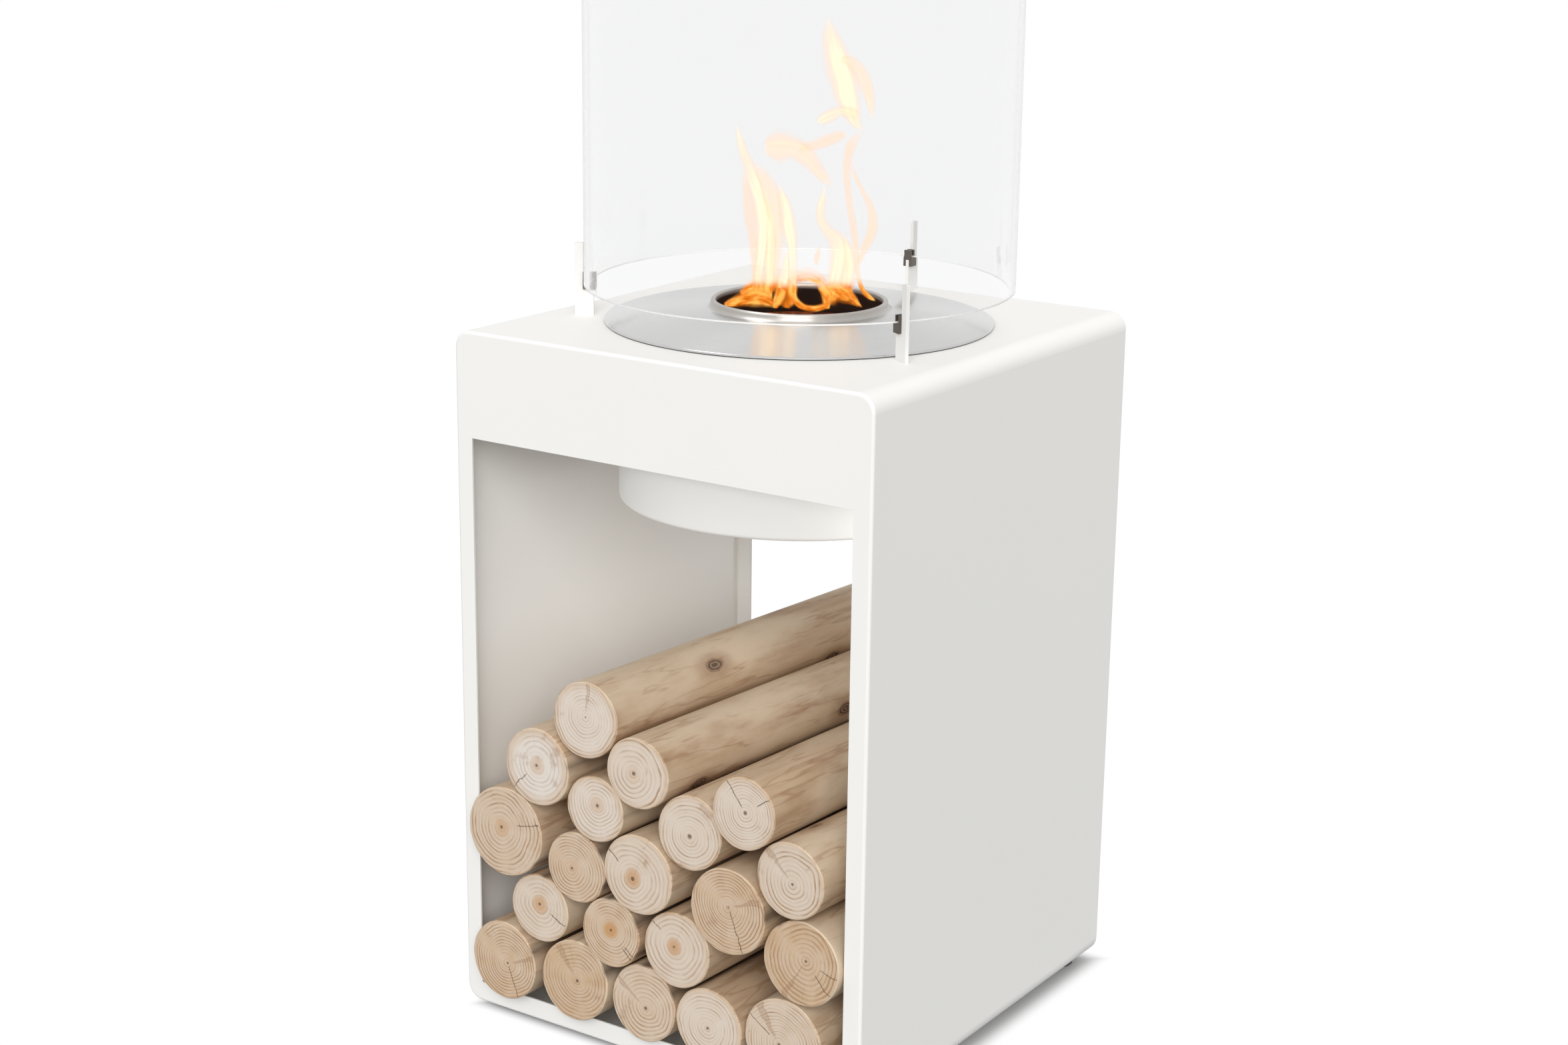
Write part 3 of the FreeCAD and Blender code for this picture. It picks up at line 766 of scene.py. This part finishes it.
def new_mesh(name, points, faces):
    """Mesh from arrays of points and quads."""
    mesh = bpy.data.meshes.new(name)
    points = points.reshape(-1, 3)
    mesh.vertices.add(len(points))
    mesh.vertices.foreach_set("co", points.astype(np.float32).ravel())
    mesh.loops.add(faces.size)
    mesh.loops.foreach_set("vertex_index", faces.astype(np.int32).ravel())
    mesh.polygons.add(len(faces))
    mesh.polygons.foreach_set("loop_start", np.arange(0, faces.size, 4, dtype=np.int32))
    mesh.update(calc_edges=True)
    return mesh


def merged(mesh, distance=1e-6):
    """Points in the same place joined, which closes the poles."""
    work = bmesh.new()
    work.from_mesh(mesh)
    bmesh.ops.remove_doubles(work, verts=work.verts, dist=distance)
    work.to_mesh(mesh)
    work.free()


def add_values(mesh, name, values):
    """Attribute of the points: one number each, or one vector each."""
    single = values.size == len(mesh.vertices)
    layer = mesh.attributes.new(name, "FLOAT" if single else "FLOAT_VECTOR", "POINT")
    layer.data.foreach_set("value" if single else "vector", values.astype(np.float32).ravel())


def in_scene(name, data):
    """New object for the data, linked to the scene."""
    item = bpy.data.objects.new(name, data)
    bpy.context.scene.collection.objects.link(item)
    return item


def new_piece(name, mesh, body, materials, sharp_from=math.radians(38)):
    """Object for the mesh, smooth but for sharp edges, riding on a body."""
    mesh.shade_smooth()
    mesh.set_sharp_from_angle(angle=sharp_from)
    for material in materials:
        mesh.materials.append(material)
    piece = in_scene(name, mesh)
    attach(piece, body)
    return piece


def dress(node, material):
    """The solid keeps its shape and takes the material."""
    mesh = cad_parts[node].data
    mesh.materials.clear()
    mesh.materials.append(material)


# Operators


class FIREPLACE_OT_paint_steel(bpy.types.Operator):
    """Powder coat the cabinet, the drum and the posts"""

    bl_idname = "fireplace.paint_steel"
    bl_label = "Paint Steel"
    bl_options = {"REGISTER", "UNDO"}

    def execute(self, context):
        finishes = context.scene.fireplace_finishes
        paint = paint_finish("powder_coat", finishes.paint)
        for node in PAINTED:
            dress(node, paint)
        # A darker copy of the same powder coat for the posts, as painted shade
        shaded_post_paint = paint_finish("post_coat_painted_shade", finishes.shaded_post_paint)
        for node in POSTS:
            dress(node, shaded_post_paint)
        return {"FINISHED"}


class FIREPLACE_OT_finish_fixings(bpy.types.Operator):
    """Give the clips, fixings, seal and feet their metal, rubber and plastic"""

    bl_idname = "fireplace.finish_fixings"
    bl_label = "Finish Fixings"
    bl_options = {"REGISTER", "UNDO"}

    def execute(self, context):
        finishes = context.scene.fireplace_finishes
        zinc = plain_metal_finish("zinc_plate", finishes.zinc, roughness=0.36, drift=0.18, grain=900.0)
        black = plain_metal_finish(
            "blackened_steel", finishes.blackened, roughness=0.40, drift=0.35, grain=1400.0
        )
        plastic = moulded_finish("glide_plastic", finishes.plastic, roughness=0.62, grain=1500.0)
        for node in PLATED:
            dress(node, zinc)
        for node in BLACKENED:
            dress(node, black)
        for corner in CORNERS:
            dress("foot_stud_" + corner, zinc)
            dress("foot_pad_" + corner, plastic)
        rubber = moulded_finish("seal_rubber", finishes.seal, roughness=0.75, grain=900.0)
        dress("burner_gasket", rubber)
        dress("fuel_tank", tank_finish(finishes))
        dress("flame_basket", basket_finish(finishes))
        return {"FINISHED"}


class FIREPLACE_OT_spin_burner(bpy.types.Operator):
    """Spin the burner plate: a shallow cone with a rolled collar and a neck"""

    bl_idname = "fireplace.spin_burner"
    bl_label = "Spin Burner Plate"
    bl_options = {"REGISTER", "UNDO"}

    def execute(self, context):
        burner = context.scene.fireplace_burner
        low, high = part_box("burner_plate")
        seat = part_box("burner_gasket")[1].z
        rim = high.x
        lip = high.z
        shoulder = seat + burner.rim_height
        collar = burner.mouth + burner.collar_wall
        cone_top = seat + burner.cone_rise
        neck = burner.mouth + burner.sheet
        slope = (cone_top - shoulder) / (rim - collar)
        under_rim = shoulder - burner.sheet + slope * burner.sheet
        under_neck = under_rim + slope * (rim - burner.sheet - neck)
        if cone_top >= lip:
            raise RuntimeError("the cone rises above the rolled lip: lower its rise")
        corners = (
            (rim, seat), (rim, shoulder), (collar, cone_top), (collar, lip), (burner.mouth, lip),
            (burner.mouth, low.z), (neck, low.z), (neck, under_neck),
            (rim - burner.sheet, under_rim), (rim - burner.sheet, seat),
        )
        fine, rim_round, collar_round, lip_round = 0.0002, 0.0011, 0.0050, 0.0026
        radii = (fine, rim_round, collar_round, lip_round, lip_round, fine, fine, fine, fine, fine)
        mesh = spun_mesh("burner_cone", rounded_outline(corners, radii), columns=256)
        steel = stainless_finish(context.scene.fireplace_finishes, burner, lip)
        piece = new_piece("burner_cone", mesh, "burner", [steel])
        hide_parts("burner_plate")
        return {"FINISHED"}


class FIREPLACE_OT_roll_glass(bpy.types.Operator):
    """Roll the glass cylinder with its ground edges"""

    bl_idname = "fireplace.roll_glass"
    bl_label = "Roll Glass"
    bl_options = {"REGISTER", "UNDO"}

    def execute(self, context):
        wall = context.scene.fireplace_burner.glass_wall
        low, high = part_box("glass_screen")
        outer = high.x
        inner = outer - wall
        corners = ((outer, low.z), (outer, high.z), (inner, high.z), (inner, low.z))
        ground_round = 0.0012
        outline = rounded_outline(corners, (ground_round,) * len(corners))
        columns = 320
        mesh = spun_mesh("glass_tube", outline, columns)
        rise = np.abs(np.roll(outline[:, 1], -1) - outline[:, 1])
        ground = np.repeat(rise < wall, columns)
        mesh.polygons.foreach_set("material_index", ground.astype(np.int32))
        glass = [glass_finish(context.scene.fireplace_finishes), ground_edge_finish()]
        piece = new_piece("glass_tube", mesh, "glass", glass)
        piece.visible_shadow = False
        piece.visible_diffuse = False
        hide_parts("glass_screen")
        return {"FINISHED"}


def log_lie(low, high):
    """Radius of a log and the sine of its slope to the rear, from its solid's box."""
    radius = (high.x - low.x) / 2
    return radius, (high.z - low.z - 2 * radius) / (high.y - low.y)


def log_surface(low, high, logs, chance):
    """Points, grain places, rim shares and end-row count of one log inside its solid's box.

    Rows run from the front pole over the sawn end, along the side and over the rear end to its
    pole. The radius at angle a and place y is R (1 - o (1 + cos(2 a + p + w y)) / 2 - lobes - dents -
    taper), where the lobes are cosines round the log, the dents products of waves along and round it,
    and none is below 0, so the surface may touch the solid's but never leaves it. The log then slopes
    down to the rear by the height that its box has beyond its thickness.
    """
    radius, drop = log_lie(low, high)
    slope = math.asin(drop)
    half = (high.y - low.y) / 2 / math.cos(slope) - radius * math.tan(slope)
    columns, side_rows, cap_rows = 96, 44, 12
    angle = np.linspace(0.0, 2 * np.pi, columns, endpoint=False)[None, :]
    edge = logs.saw_edge
    cap = np.linspace(0.0, 1.0 - edge / radius, cap_rows)
    side = np.linspace(edge - half, half - edge, side_rows)
    share = np.concatenate((cap, np.ones(side_rows), cap[::-1]))[:, None]
    along = np.concatenate((np.full(cap_rows, -half), side, np.full(cap_rows, half)))[:, None]
    phase = chance.uniform(0.0, 2 * np.pi, 8)
    oval = chance.uniform(0.25, 1.0) * logs.flattening
    dip = oval * (1 + np.cos(2 * angle + phase[0] + 1.5 * along)) / 2
    for (depth, waves, twist), start in zip(LOBES, phase[1:3]):
        dip = dip + depth * (1 + np.cos(waves * angle + start + twist * along)) / 2
    for (depth, rows, waves), starts in zip(DENTS, phase[3:7].reshape(2, 2)):
        row_wave = np.sin(rows * along + starts[0]) * np.cos(waves * angle + starts[1])
        dip = dip + depth * (1 + row_wave) / 2
    thinner = chance.uniform(0.2, 1.0) * logs.taper * (along + half) / (2 * half)
    reach = share * radius * (1.0 - dip - thinner)
    saw_rag = 0.0006
    ragged = saw_rag * (1 + np.sin(11 * angle + phase[7]) * np.sin(4 * angle + phase[1])) / 2
    inward = np.where(along < 0.0, 1.0, -1.0) * ragged * share ** 6
    x = reach * np.cos(angle)
    z = -reach * np.sin(angle)
    y = np.broadcast_to(along, x.shape) + inward
    middle = (low + high) / 2
    back = y * math.cos(slope) + z * math.sin(slope)
    rise = z * math.cos(slope) - y * math.sin(slope)
    points = np.stack((middle.x + x, middle.y + back, middle.z + rise), axis=-1)
    off_centre, far = 0.14, 40.0
    pith = chance.uniform(-off_centre, off_centre, 2) * radius
    shift = chance.uniform(-far, far)
    grain = np.stack((x - pith[0], y + shift, z - pith[1]), axis=-1)
    return points, grain, np.broadcast_to(share, x.shape), cap_rows


def painted_shade_share(points, own, reach):
    """Painted shade of each point of a log by its depth among others: 1 where two touch it, 0 from the
    reach on.
    """
    gaps = []
    for node in LOGS:
        if node == own:
            continue
        low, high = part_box(node)
        radius, drop = log_lie(low, high)
        middle = (low + high) / 2
        above = points[..., 2] - middle.z + (points[..., 1] - middle.y) * drop
        gaps.append(np.hypot(points[..., 0] - middle.x, above) - radius)
    second = np.sort(np.stack(gaps), axis=0)[1]
    return 1.0 - np.clip(second / reach, 0.0, 1.0)


class FIREPLACE_OT_stack_logs(bpy.types.Operator):
    """Peel and saw each log in the place of its solid"""

    bl_idname = "fireplace.stack_logs"
    bl_label = "Stack Logs"
    bl_options = {"REGISTER", "UNDO"}

    def execute(self, context):
        logs = context.scene.fireplace_logs
        materials = [peeled_side_finish(logs), sawn_end_finish(logs)]
        for number, node in enumerate(LOGS):
            chance = np.random.default_rng(logs.seed * 100 + number)
            low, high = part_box(node)
            points, grain, share, cap_rows = log_surface(low, high, logs, chance)
            rows, columns = points.shape[:2]
            mesh = new_mesh("peeled_" + node, points, grid_faces(rows, columns))
            add_values(mesh, "grain", grain)
            add_values(mesh, "tone", np.full((rows, columns), TONES[number]))
            add_values(mesh, "rim", share)
            # Painted shade between logs, kept on each point
            add_values(mesh, "crevice", painted_shade_share(points, node, logs.crevice))
            face_row = np.repeat(np.arange(rows - 1), columns)
            sawn = (face_row < cap_rows - 1) | (face_row >= rows - cap_rows)
            mesh.polygons.foreach_set("material_index", sawn.astype(np.int32))
            merged(mesh)
            piece = new_piece("peeled_" + node, mesh, "logs", materials)
            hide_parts(node)
        return {"FINISHED"}


# Each tongue is its hotness, from a veil at 0 to a full core at 1, and its marks, drawn as
# points of (across, above the lip, towards the viewer, width), in mm
TONGUES = (
    (1.0, ((-42, -6, 4, 9), (-46, 18, 4, 10), (-43, 49, 2, 11), (-41, 80, 2, 13), (-45, 108, 0, 14),
        (-54, 134, 0, 13), (-64, 162, -2, 9), (-69, 181, -2, 5), (-73, 195, -2, 1))),
    (0.2, ((-47, 10, -4, 6), (-50, 39, -4, 8), (-52, 64, -4, 10), (-56, 92, -4, 11), (-60, 117, -4, 8),
        (-65, 144, -4, 2))),
    (0.6, ((-30, 6, 0, 10), (-31, 33, 0, 13), (-29, 64, 0, 17), (-29, 92, 0, 19), (-34, 117, 0, 19),
        (-43, 136, 0, 12), (-54, 154, 0, 2))),
    (1.0, ((-11, -8, 12, 7), (-8, 13, 10, 9), (-8, 41, 10, 9), (-10, 64, 8, 11), (-14, 84, 8, 15),
        (-17, 103, 6, 13), (-21, 117, 6, 8), (-25, 130, 6, 1))),
    (1.0, ((-24, -6, 14, 6), (-19, 13, 14, 11), (-17, 29, 14, 10), (-16, 41, 14, 7), (-15, 57, 14, 1))),
    (0.9, ((31, -6, 6, 14), (38, 13, 4, 19), (42, 33, 2, 19), (44, 52, 2, 19), (40, 66, 0, 16),
        (29, 77, -2, 11), (22, 89, -4, 9), (23, 105, -4, 8), (25, 117, -4, 4), (27, 130, -4, 1))),
    (0.25, ((70, 8, -4, 4), (64, 30, -4, 5), (62, 49, -6, 6), (58, 80, -8, 7), (53, 108, -8, 7),
        (50, 137, -6, 7), (51, 159, -4, 9), (57, 175, -2, 9), (70, 189, 0, 2))),
    (0.35, ((64, 36, -2, 3), (70, 54, -2, 8), (77, 70, -2, 10), (80, 84, -2, 9), (77, 102, -4, 7),
        (68, 119, -6, 5), (58, 139, -6, 4), (53, 159, -6, 1))),
    (0.6, ((-42, 166, 4, 12), (-25, 168, 6, 28), (-7, 166, 6, 21), (6, 157, 6, 17), (16, 146, 4, 14),
        (25, 135, 4, 10), (37, 123, 2, 2))),
    (0.3, ((-4, 167, 2, 9), (16, 171, 0, 10), (30, 176, -2, 12), (43, 181, -2, 9), (48, 184, -2, 2))),
    (0.1, ((18, 36, -8, 3), (19, 46, -8, 6), (22, 58, -8, 1))),
    (0.2, ((-14, 10, -34, 7), (-3, 17, -36, 12), (9, 20, -36, 13), (20, 16, -36, 12), (30, 9, -34, 6))),
    (1.0, ((66, 186, -2, 2), (55, 201, -2, 14), (48, 225, -2, 24), (42, 247, 0, 25), (34, 269, 2, 22),
        (29, 292, 2, 13), (26, 311, 2, 1))),
    (0.6, ((40, 264, 6, 4), (53, 260, 6, 12), (66, 242, 6, 13), (73, 221, 6, 9), (77, 196, 6, 1))),
    (0.9, ((62, 202, 4, 9), (49, 207, 4, 11), (41, 208, 4, 9), (30, 203, 4, 12), (21, 198, 4, 9),
        (16, 194, 4, 2))),
    (0.4, ((-84, -7, 8, 3), (-72, -3, 12, 10), (-58, 2, 14, 14), (-45, 2, 12, 16), (-33, -2, 12, 11),
        (-25, -9, 14, 3))),
    (0.3, ((-66, 3, 0, 6), (-52, 11, -2, 15), (-38, 15, -4, 19), (-26, 18, -4, 15), (-17, 25, -4, 5))),
    (1.0, ((-27, -8, 18, 4), (-24, 1, 18, 8), (-21, 9, 16, 9), (-19, 21, 12, 4))),
    (0.7, ((-8, 20, 10, 7), (-7, 4, 18, 7), (3, -4, 26, 6), (17, -6, 28, 6), (29, -2, 26, 7),
        (31, 8, 22, 8), (24, 17, 16, 8), (20, 27, 12, 3))),
    (0.6, ((23, 15, 8, 8), (38, 14, 10, 15), (48, 8, 12, 15), (58, 2, 14, 10), (67, -6, 14, 2))),
    (0.9, ((42, 17, 4, 5), (54, 8, 6, 6), (62, 0, 8, 4), (70, -8, 10, 1))),
    (0.4, ((64, 24, -6, 3), (70, 10, -4, 5), (77, 3, -2, 5), (85, -2, 0, 1))),
    (0.5, ((-15, -9, 14, 7), (-12, 6, 12, 11), (-9, 21, 10, 8), (-8, 34, 10, 2))),
    (0.6, ((30, -9, 16, 6), (30, 3, 14, 9), (27, 14, 12, 9), (23, 30, 10, 2))),
    (0.8, ((50, -2, 4, 9), (52, 15, 4, 13), (54, 35, 2, 14), (52, 55, 2, 11), (47, 72, 0, 2))),
    (0.9, ((-35, -2, 8, 8), (-34, 20, 6, 11), (-33, 45, 4, 11), (-33, 72, 2, 10), (-37, 98, 0, 7),
        (-44, 120, 0, 1))),
)


def tongue_line(marks, count):
    """Smooth line through the marks, with width as its fourth value.

    Between marks b and c the line is the cubic whose slopes there are (c - a) / 2 and (d - b) / 2,
    with a before b and d after c, and the end marks repeated.
    """
    marks = np.asarray(marks, float)
    padded = np.concatenate((marks[:1], marks, marks[-1:]))
    place = np.linspace(0.0, len(marks) - 1.0, count)
    span = np.minimum(place.astype(int), len(marks) - 2)
    t = (place - span)[:, None]
    a, b, c, d = (padded[span + step] for step in range(4))
    curve = 2 * b + (c - a) * t + (2 * a - 5 * b + 4 * c - d) * t ** 2 + (3 * b - a - 3 * c + d) * t ** 3
    return curve / 2


def tongue_sheets(marks, flames, heading, lip, sheets=2, rows=44, columns=13):
    """Points, UVs and gas places of a tongue: bowed sheets along one line, turned by equal angles.

    A point is line + s w n / 2 + (1 / 2 - s s) b w m, with s from -1 to 1 across the sheet, w the
    width there, b the bow, n the sheet's direction, square to the line, and m square to both. A gas
    place is the distance across and along the sheet, with a gap from sheet to sheet.
    """
    line = tongue_line(marks, rows) / 1000.0
    right = np.array((math.cos(heading), math.sin(heading), 0.0))
    near = np.array((math.sin(heading), -math.cos(heading), 0.0))
    spine = line[:, :1] * right + line[:, 1:2] * UP + line[:, 2:3] * near + lip * UP
    tangent = unit(np.gradient(spine, axis=0))
    level = unit(np.cross(near, tangent))
    third = np.cross(tangent, level)
    turn = np.pi * np.arange(sheets)[:, None, None, None] / sheets
    across = np.cos(turn) * level[None, :, None] + np.sin(turn) * third[None, :, None]
    square = np.cos(turn) * third[None, :, None] - np.sin(turn) * level[None, :, None]
    s = np.linspace(-1.0, 1.0, columns)[None, None, :, None]
    narrowest = 0.0005
    width = np.maximum(flames.fullness * line[:, 3], narrowest)[None, :, None, None]
    bowed = (0.5 - s * s) * flames.bow * width * square
    points = spine[None, :, None] + s * width * across / 2 + bowed
    grid = points.shape[:3]
    u = np.broadcast_to((s[..., 0] + 1) / 2, grid)
    v = np.broadcast_to(np.linspace(0.0, 1.0, rows)[None, :, None], grid)
    steps = np.linalg.norm(np.diff(spine, axis=0, prepend=spine[:1]), axis=1)
    along = np.broadcast_to(np.cumsum(steps)[None, :, None], grid)
    aside = np.broadcast_to((s * width)[..., 0] / 2, grid)
    sheet_gap = 0.1
    apart = np.broadcast_to(sheet_gap * np.arange(sheets)[:, None, None], grid)
    return points, np.stack((u, v), axis=-1), np.stack((aside, along, apart), axis=-1)


def sheet_faces(sheets, rows, columns):
    """Quads of several open grids stored one after the other."""
    start = np.arange(sheets)[:, None, None] * rows * columns
    corner = start + np.arange(rows - 1)[None, :, None] * columns + np.arange(columns - 1)[None, None, :]
    return np.stack((corner, corner + 1, corner + columns + 1, corner + columns), axis=-1).reshape(-1, 4)


class FIREPLACE_OT_light_flames(bpy.types.Operator):
    """Raise the flames out of the burner's mouth"""

    bl_idname = "fireplace.light_flames"
    bl_label = "Light Flames"
    bl_options = {"REGISTER", "UNDO"}

    def execute(self, context):
        heading = context.scene.fireplace_stage.heading
        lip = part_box("burner_plate")[1].z
        flames = context.scene.fireplace_flames
        glow = flame_finish(flames, lip)
        tongue_gap = 0.03
        for number, (hotness, marks) in enumerate(TONGUES, 1):
            points, uv, gas = tongue_sheets(marks, flames, heading, lip)
            faces = sheet_faces(*points.shape[:3])
            mesh = new_mesh("flame_%02d" % number, points, faces)
            layer = mesh.uv_layers.new(name="tongue")
            layer.uv.foreach_set("vector", uv.reshape(-1, 2)[faces.ravel()].astype(np.float32).ravel())
            add_values(mesh, "gas", gas + (0.0, 0.0, tongue_gap * number))
            add_values(mesh, "hotness", np.full(points.shape[:3], hotness))
            piece = new_piece("flame_%02d" % number, mesh, "burner", [glow])
            piece.visible_shadow = False
        return {"FINISHED"}


def axes_matrix(right, up, back, place=(0.0, 0.0, 0.0)):
    """Matrix of a camera or lamp with these axes at a place."""
    matrix = np.eye(4)
    matrix[:3] = np.stack((right, up, back, np.array(place)), axis=1)
    return Matrix(matrix.tolist())


def look_matrix(stage):
    """Camera's place and axes from its heading, elevation and roll."""
    heading, elevation, roll = stage.heading, stage.elevation, stage.roll
    level = math.cos(elevation)
    back = np.array((math.sin(heading) * level, -math.cos(heading) * level, math.sin(elevation)))
    right = unit(np.cross(-back, UP))
    up = np.cross(back, right)
    cos, sin = math.cos(roll), math.sin(roll)
    return axes_matrix(cos * right + sin * up, cos * up - sin * right, back, stage.camera_place)


def seen_directly(tree):
    """1 for rays from the camera, off metal or through glass, else 0."""
    path = tree.node("ShaderNodeLightPath").outputs
    return tree.largest(path["Is Camera Ray"], path["Is Glossy Ray"], path["Is Transmission Ray"])


def floor_finish(stage, foot):
    """Pale floor: white all round, with a shadow on its plain matt ground close to the cabinet."""
    material = bpy.data.materials.new("studio_floor")
    material.use_nodes = True
    material.node_tree.nodes.clear()
    tree = Tree(material.node_tree)
    seen = seen_directly(tree)
    near = tree.node("ShaderNodeBsdfDiffuse", {"Color": (0.90, 0.90, 0.90)}).outputs[0]
    white = tree.node("ShaderNodeEmission", {"Strength": tree.span(seen, stage.bounce, 1.0)}).outputs[0]
    axes = tree.axes(tree.place())
    offsets = [tree.math("ABSOLUTE", tree.minus(axis, stage.lean)) for axis in axes[:2]]
    widest = tree.largest(*offsets)
    far_share = tree.step(widest, foot - stage.depth, foot + stage.contact)
    mixed = tree.node("ShaderNodeMixShader", {0: far_share, 1: near, 2: white}).outputs[0]
    tree.node("ShaderNodeOutputMaterial", {"Surface": mixed})
    return material


def new_lamp(name, kind, energy):
    """Lamp of a kind in the scene."""
    data = bpy.data.lights.new(name, kind)
    data.energy = energy
    return in_scene(name, data)


def new_sun(name, energy, toward, degrees):
    """Soft sun that shines from the given direction and is so many degrees wide."""
    sun = new_lamp(name, "SUN", energy)
    sun.data.angle = math.radians(degrees)
    toward = unit(np.array(toward))
    side = unit(np.cross(UP, toward))
    sun.matrix_world = axes_matrix(side, np.cross(toward, side), toward)
    return sun


def new_side_panel(name, energy, place, height, width):
    """Soft panel that shines towards -X and is not seen itself."""
    panel = new_lamp(name, "AREA", energy)
    panel.data.shape = "RECTANGLE"
    panel.data.size, panel.data.size_y = height, width
    panel.location = place
    panel.rotation_euler = (0.0, math.pi / 2, 0.0)
    panel.visible_camera = False
    panel.visible_glossy = False
    return panel


def link_light(lamp, pieces, state):
    """The lamp lights only these pieces, or all but these pieces."""
    receivers = bpy.data.collections.new(lamp.name + "_receivers")
    for piece in pieces:
        receivers.objects.link(piece)
    for linked in receivers.collection_objects:
        linked.light_linking.link_state = state
    lamp.light_linking.receiver_collection = receivers


class FIREPLACE_OT_set_stage(bpy.types.Operator):
    """Set the pale floor, the soft light, the white surround and the camera"""

    bl_idname = "fireplace.set_stage"
    bl_label = "Set Stage"
    bl_options = {"REGISTER", "UNDO"}

    def execute(self, context):
        scene = context.scene
        stage = scene.fireplace_stage
        reach = 12.0
        corners = reach * np.array(((-1, -1, 0), (1, -1, 0), (1, 1, 0), (-1, 1, 0)))
        floor_mesh = new_mesh("studio_floor", corners, np.array(((0, 1, 2, 3),)))
        floor_mesh.materials.append(floor_finish(stage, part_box("cabinet_wrap")[1].x))
        floor = in_scene("studio_floor", floor_mesh)

        world = bpy.data.worlds.new("studio_sky")
        world.use_nodes = True
        tree = Tree(world.node_tree)
        strength = tree.span(seen_directly(tree), stage.sky, 1.0)
        background = world.node_tree.nodes["Background"].inputs
        tree.fill(background, {"Color": (1.0, 1.0, 1.0), "Strength": strength})
        scene.world = world

        plate = bpy.data.objects["burner_cone"]
        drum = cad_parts["burner_drum"]
        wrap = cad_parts["cabinet_wrap"]
        key = new_sun("key_light", stage.key, *KEY_SUN)
        link_light(key, (plate, floor, drum), "EXCLUDE")
        low_key = new_sun("low_key_light", stage.low_key, *LOW_SUN)
        link_light(low_key, (drum,), "INCLUDE")
        sheen = new_sun("sheen_light", stage.sheen, *SHEEN_SUN)
        link_light(sheen, (plate,), "INCLUDE")
        store = new_side_panel("store_light", stage.store, *STORE_PANEL)
        link_light(store, (wrap, drum), "INCLUDE")

        camera_data = bpy.data.cameras.new("camera")
        camera_data.sensor_width = 36.0
        camera_data.sensor_fit = "HORIZONTAL"
        camera_data.lens = stage.lens
        camera = in_scene("camera", camera_data)
        camera.matrix_world = look_matrix(stage)
        scene.camera = camera
        scene.view_settings.view_transform = "Standard"
        return {"FINISHED"}


class FIREPLACE_PT_panel(bpy.types.Panel):
    """Steps that dress the fireplace, in order"""

    bl_idname = "FIREPLACE_PT_panel"
    bl_label = "Fireplace"
    bl_space_type = "VIEW_3D"
    bl_region_type = "UI"
    bl_category = "Fireplace"

    def draw(self, context):
        for operator in OPERATORS:
            self.layout.operator(operator.bl_idname)
        for name in GROUPS:
            box = self.layout.box()
            values = getattr(context.scene, name)
            box.label(text=name.replace("_", " ").title())
            for label in values.__annotations__:
                box.prop(values, label)


OPERATORS = (
    FIREPLACE_OT_paint_steel, FIREPLACE_OT_finish_fixings, FIREPLACE_OT_spin_burner,
    FIREPLACE_OT_roll_glass, FIREPLACE_OT_stack_logs, FIREPLACE_OT_light_flames, FIREPLACE_OT_set_stage,
)
GROUPS = {
    "fireplace_finishes": FireplaceFinishes,
    "fireplace_burner": FireplaceBurner,
    "fireplace_logs": FireplaceLogs,
    "fireplace_flames": FireplaceFlames,
    "fireplace_stage": FireplaceStage,
}
CLASSES = (*GROUPS.values(), *OPERATORS, FIREPLACE_PT_panel)


def register():
    """Add the classes and their settings."""
    for item in CLASSES:
        bpy.utils.register_class(item)
    for name, group in GROUPS.items():
        setattr(bpy.types.Scene, name, PointerProperty(type=group))


def unregister():
    """Take the classes and their settings away."""
    for name in GROUPS:
        delattr(bpy.types.Scene, name)
    for item in reversed(CLASSES):
        bpy.utils.unregister_class(item)


def main():
    """Dress the fireplace."""
    register()
    bpy.ops.fireplace.paint_steel()
    bpy.ops.fireplace.finish_fixings()
    bpy.ops.fireplace.spin_burner()
    bpy.ops.fireplace.roll_glass()
    bpy.ops.fireplace.stack_logs()
    bpy.ops.fireplace.light_flames()
    bpy.ops.fireplace.set_stage()


if __name__ == "__main__":
    main()
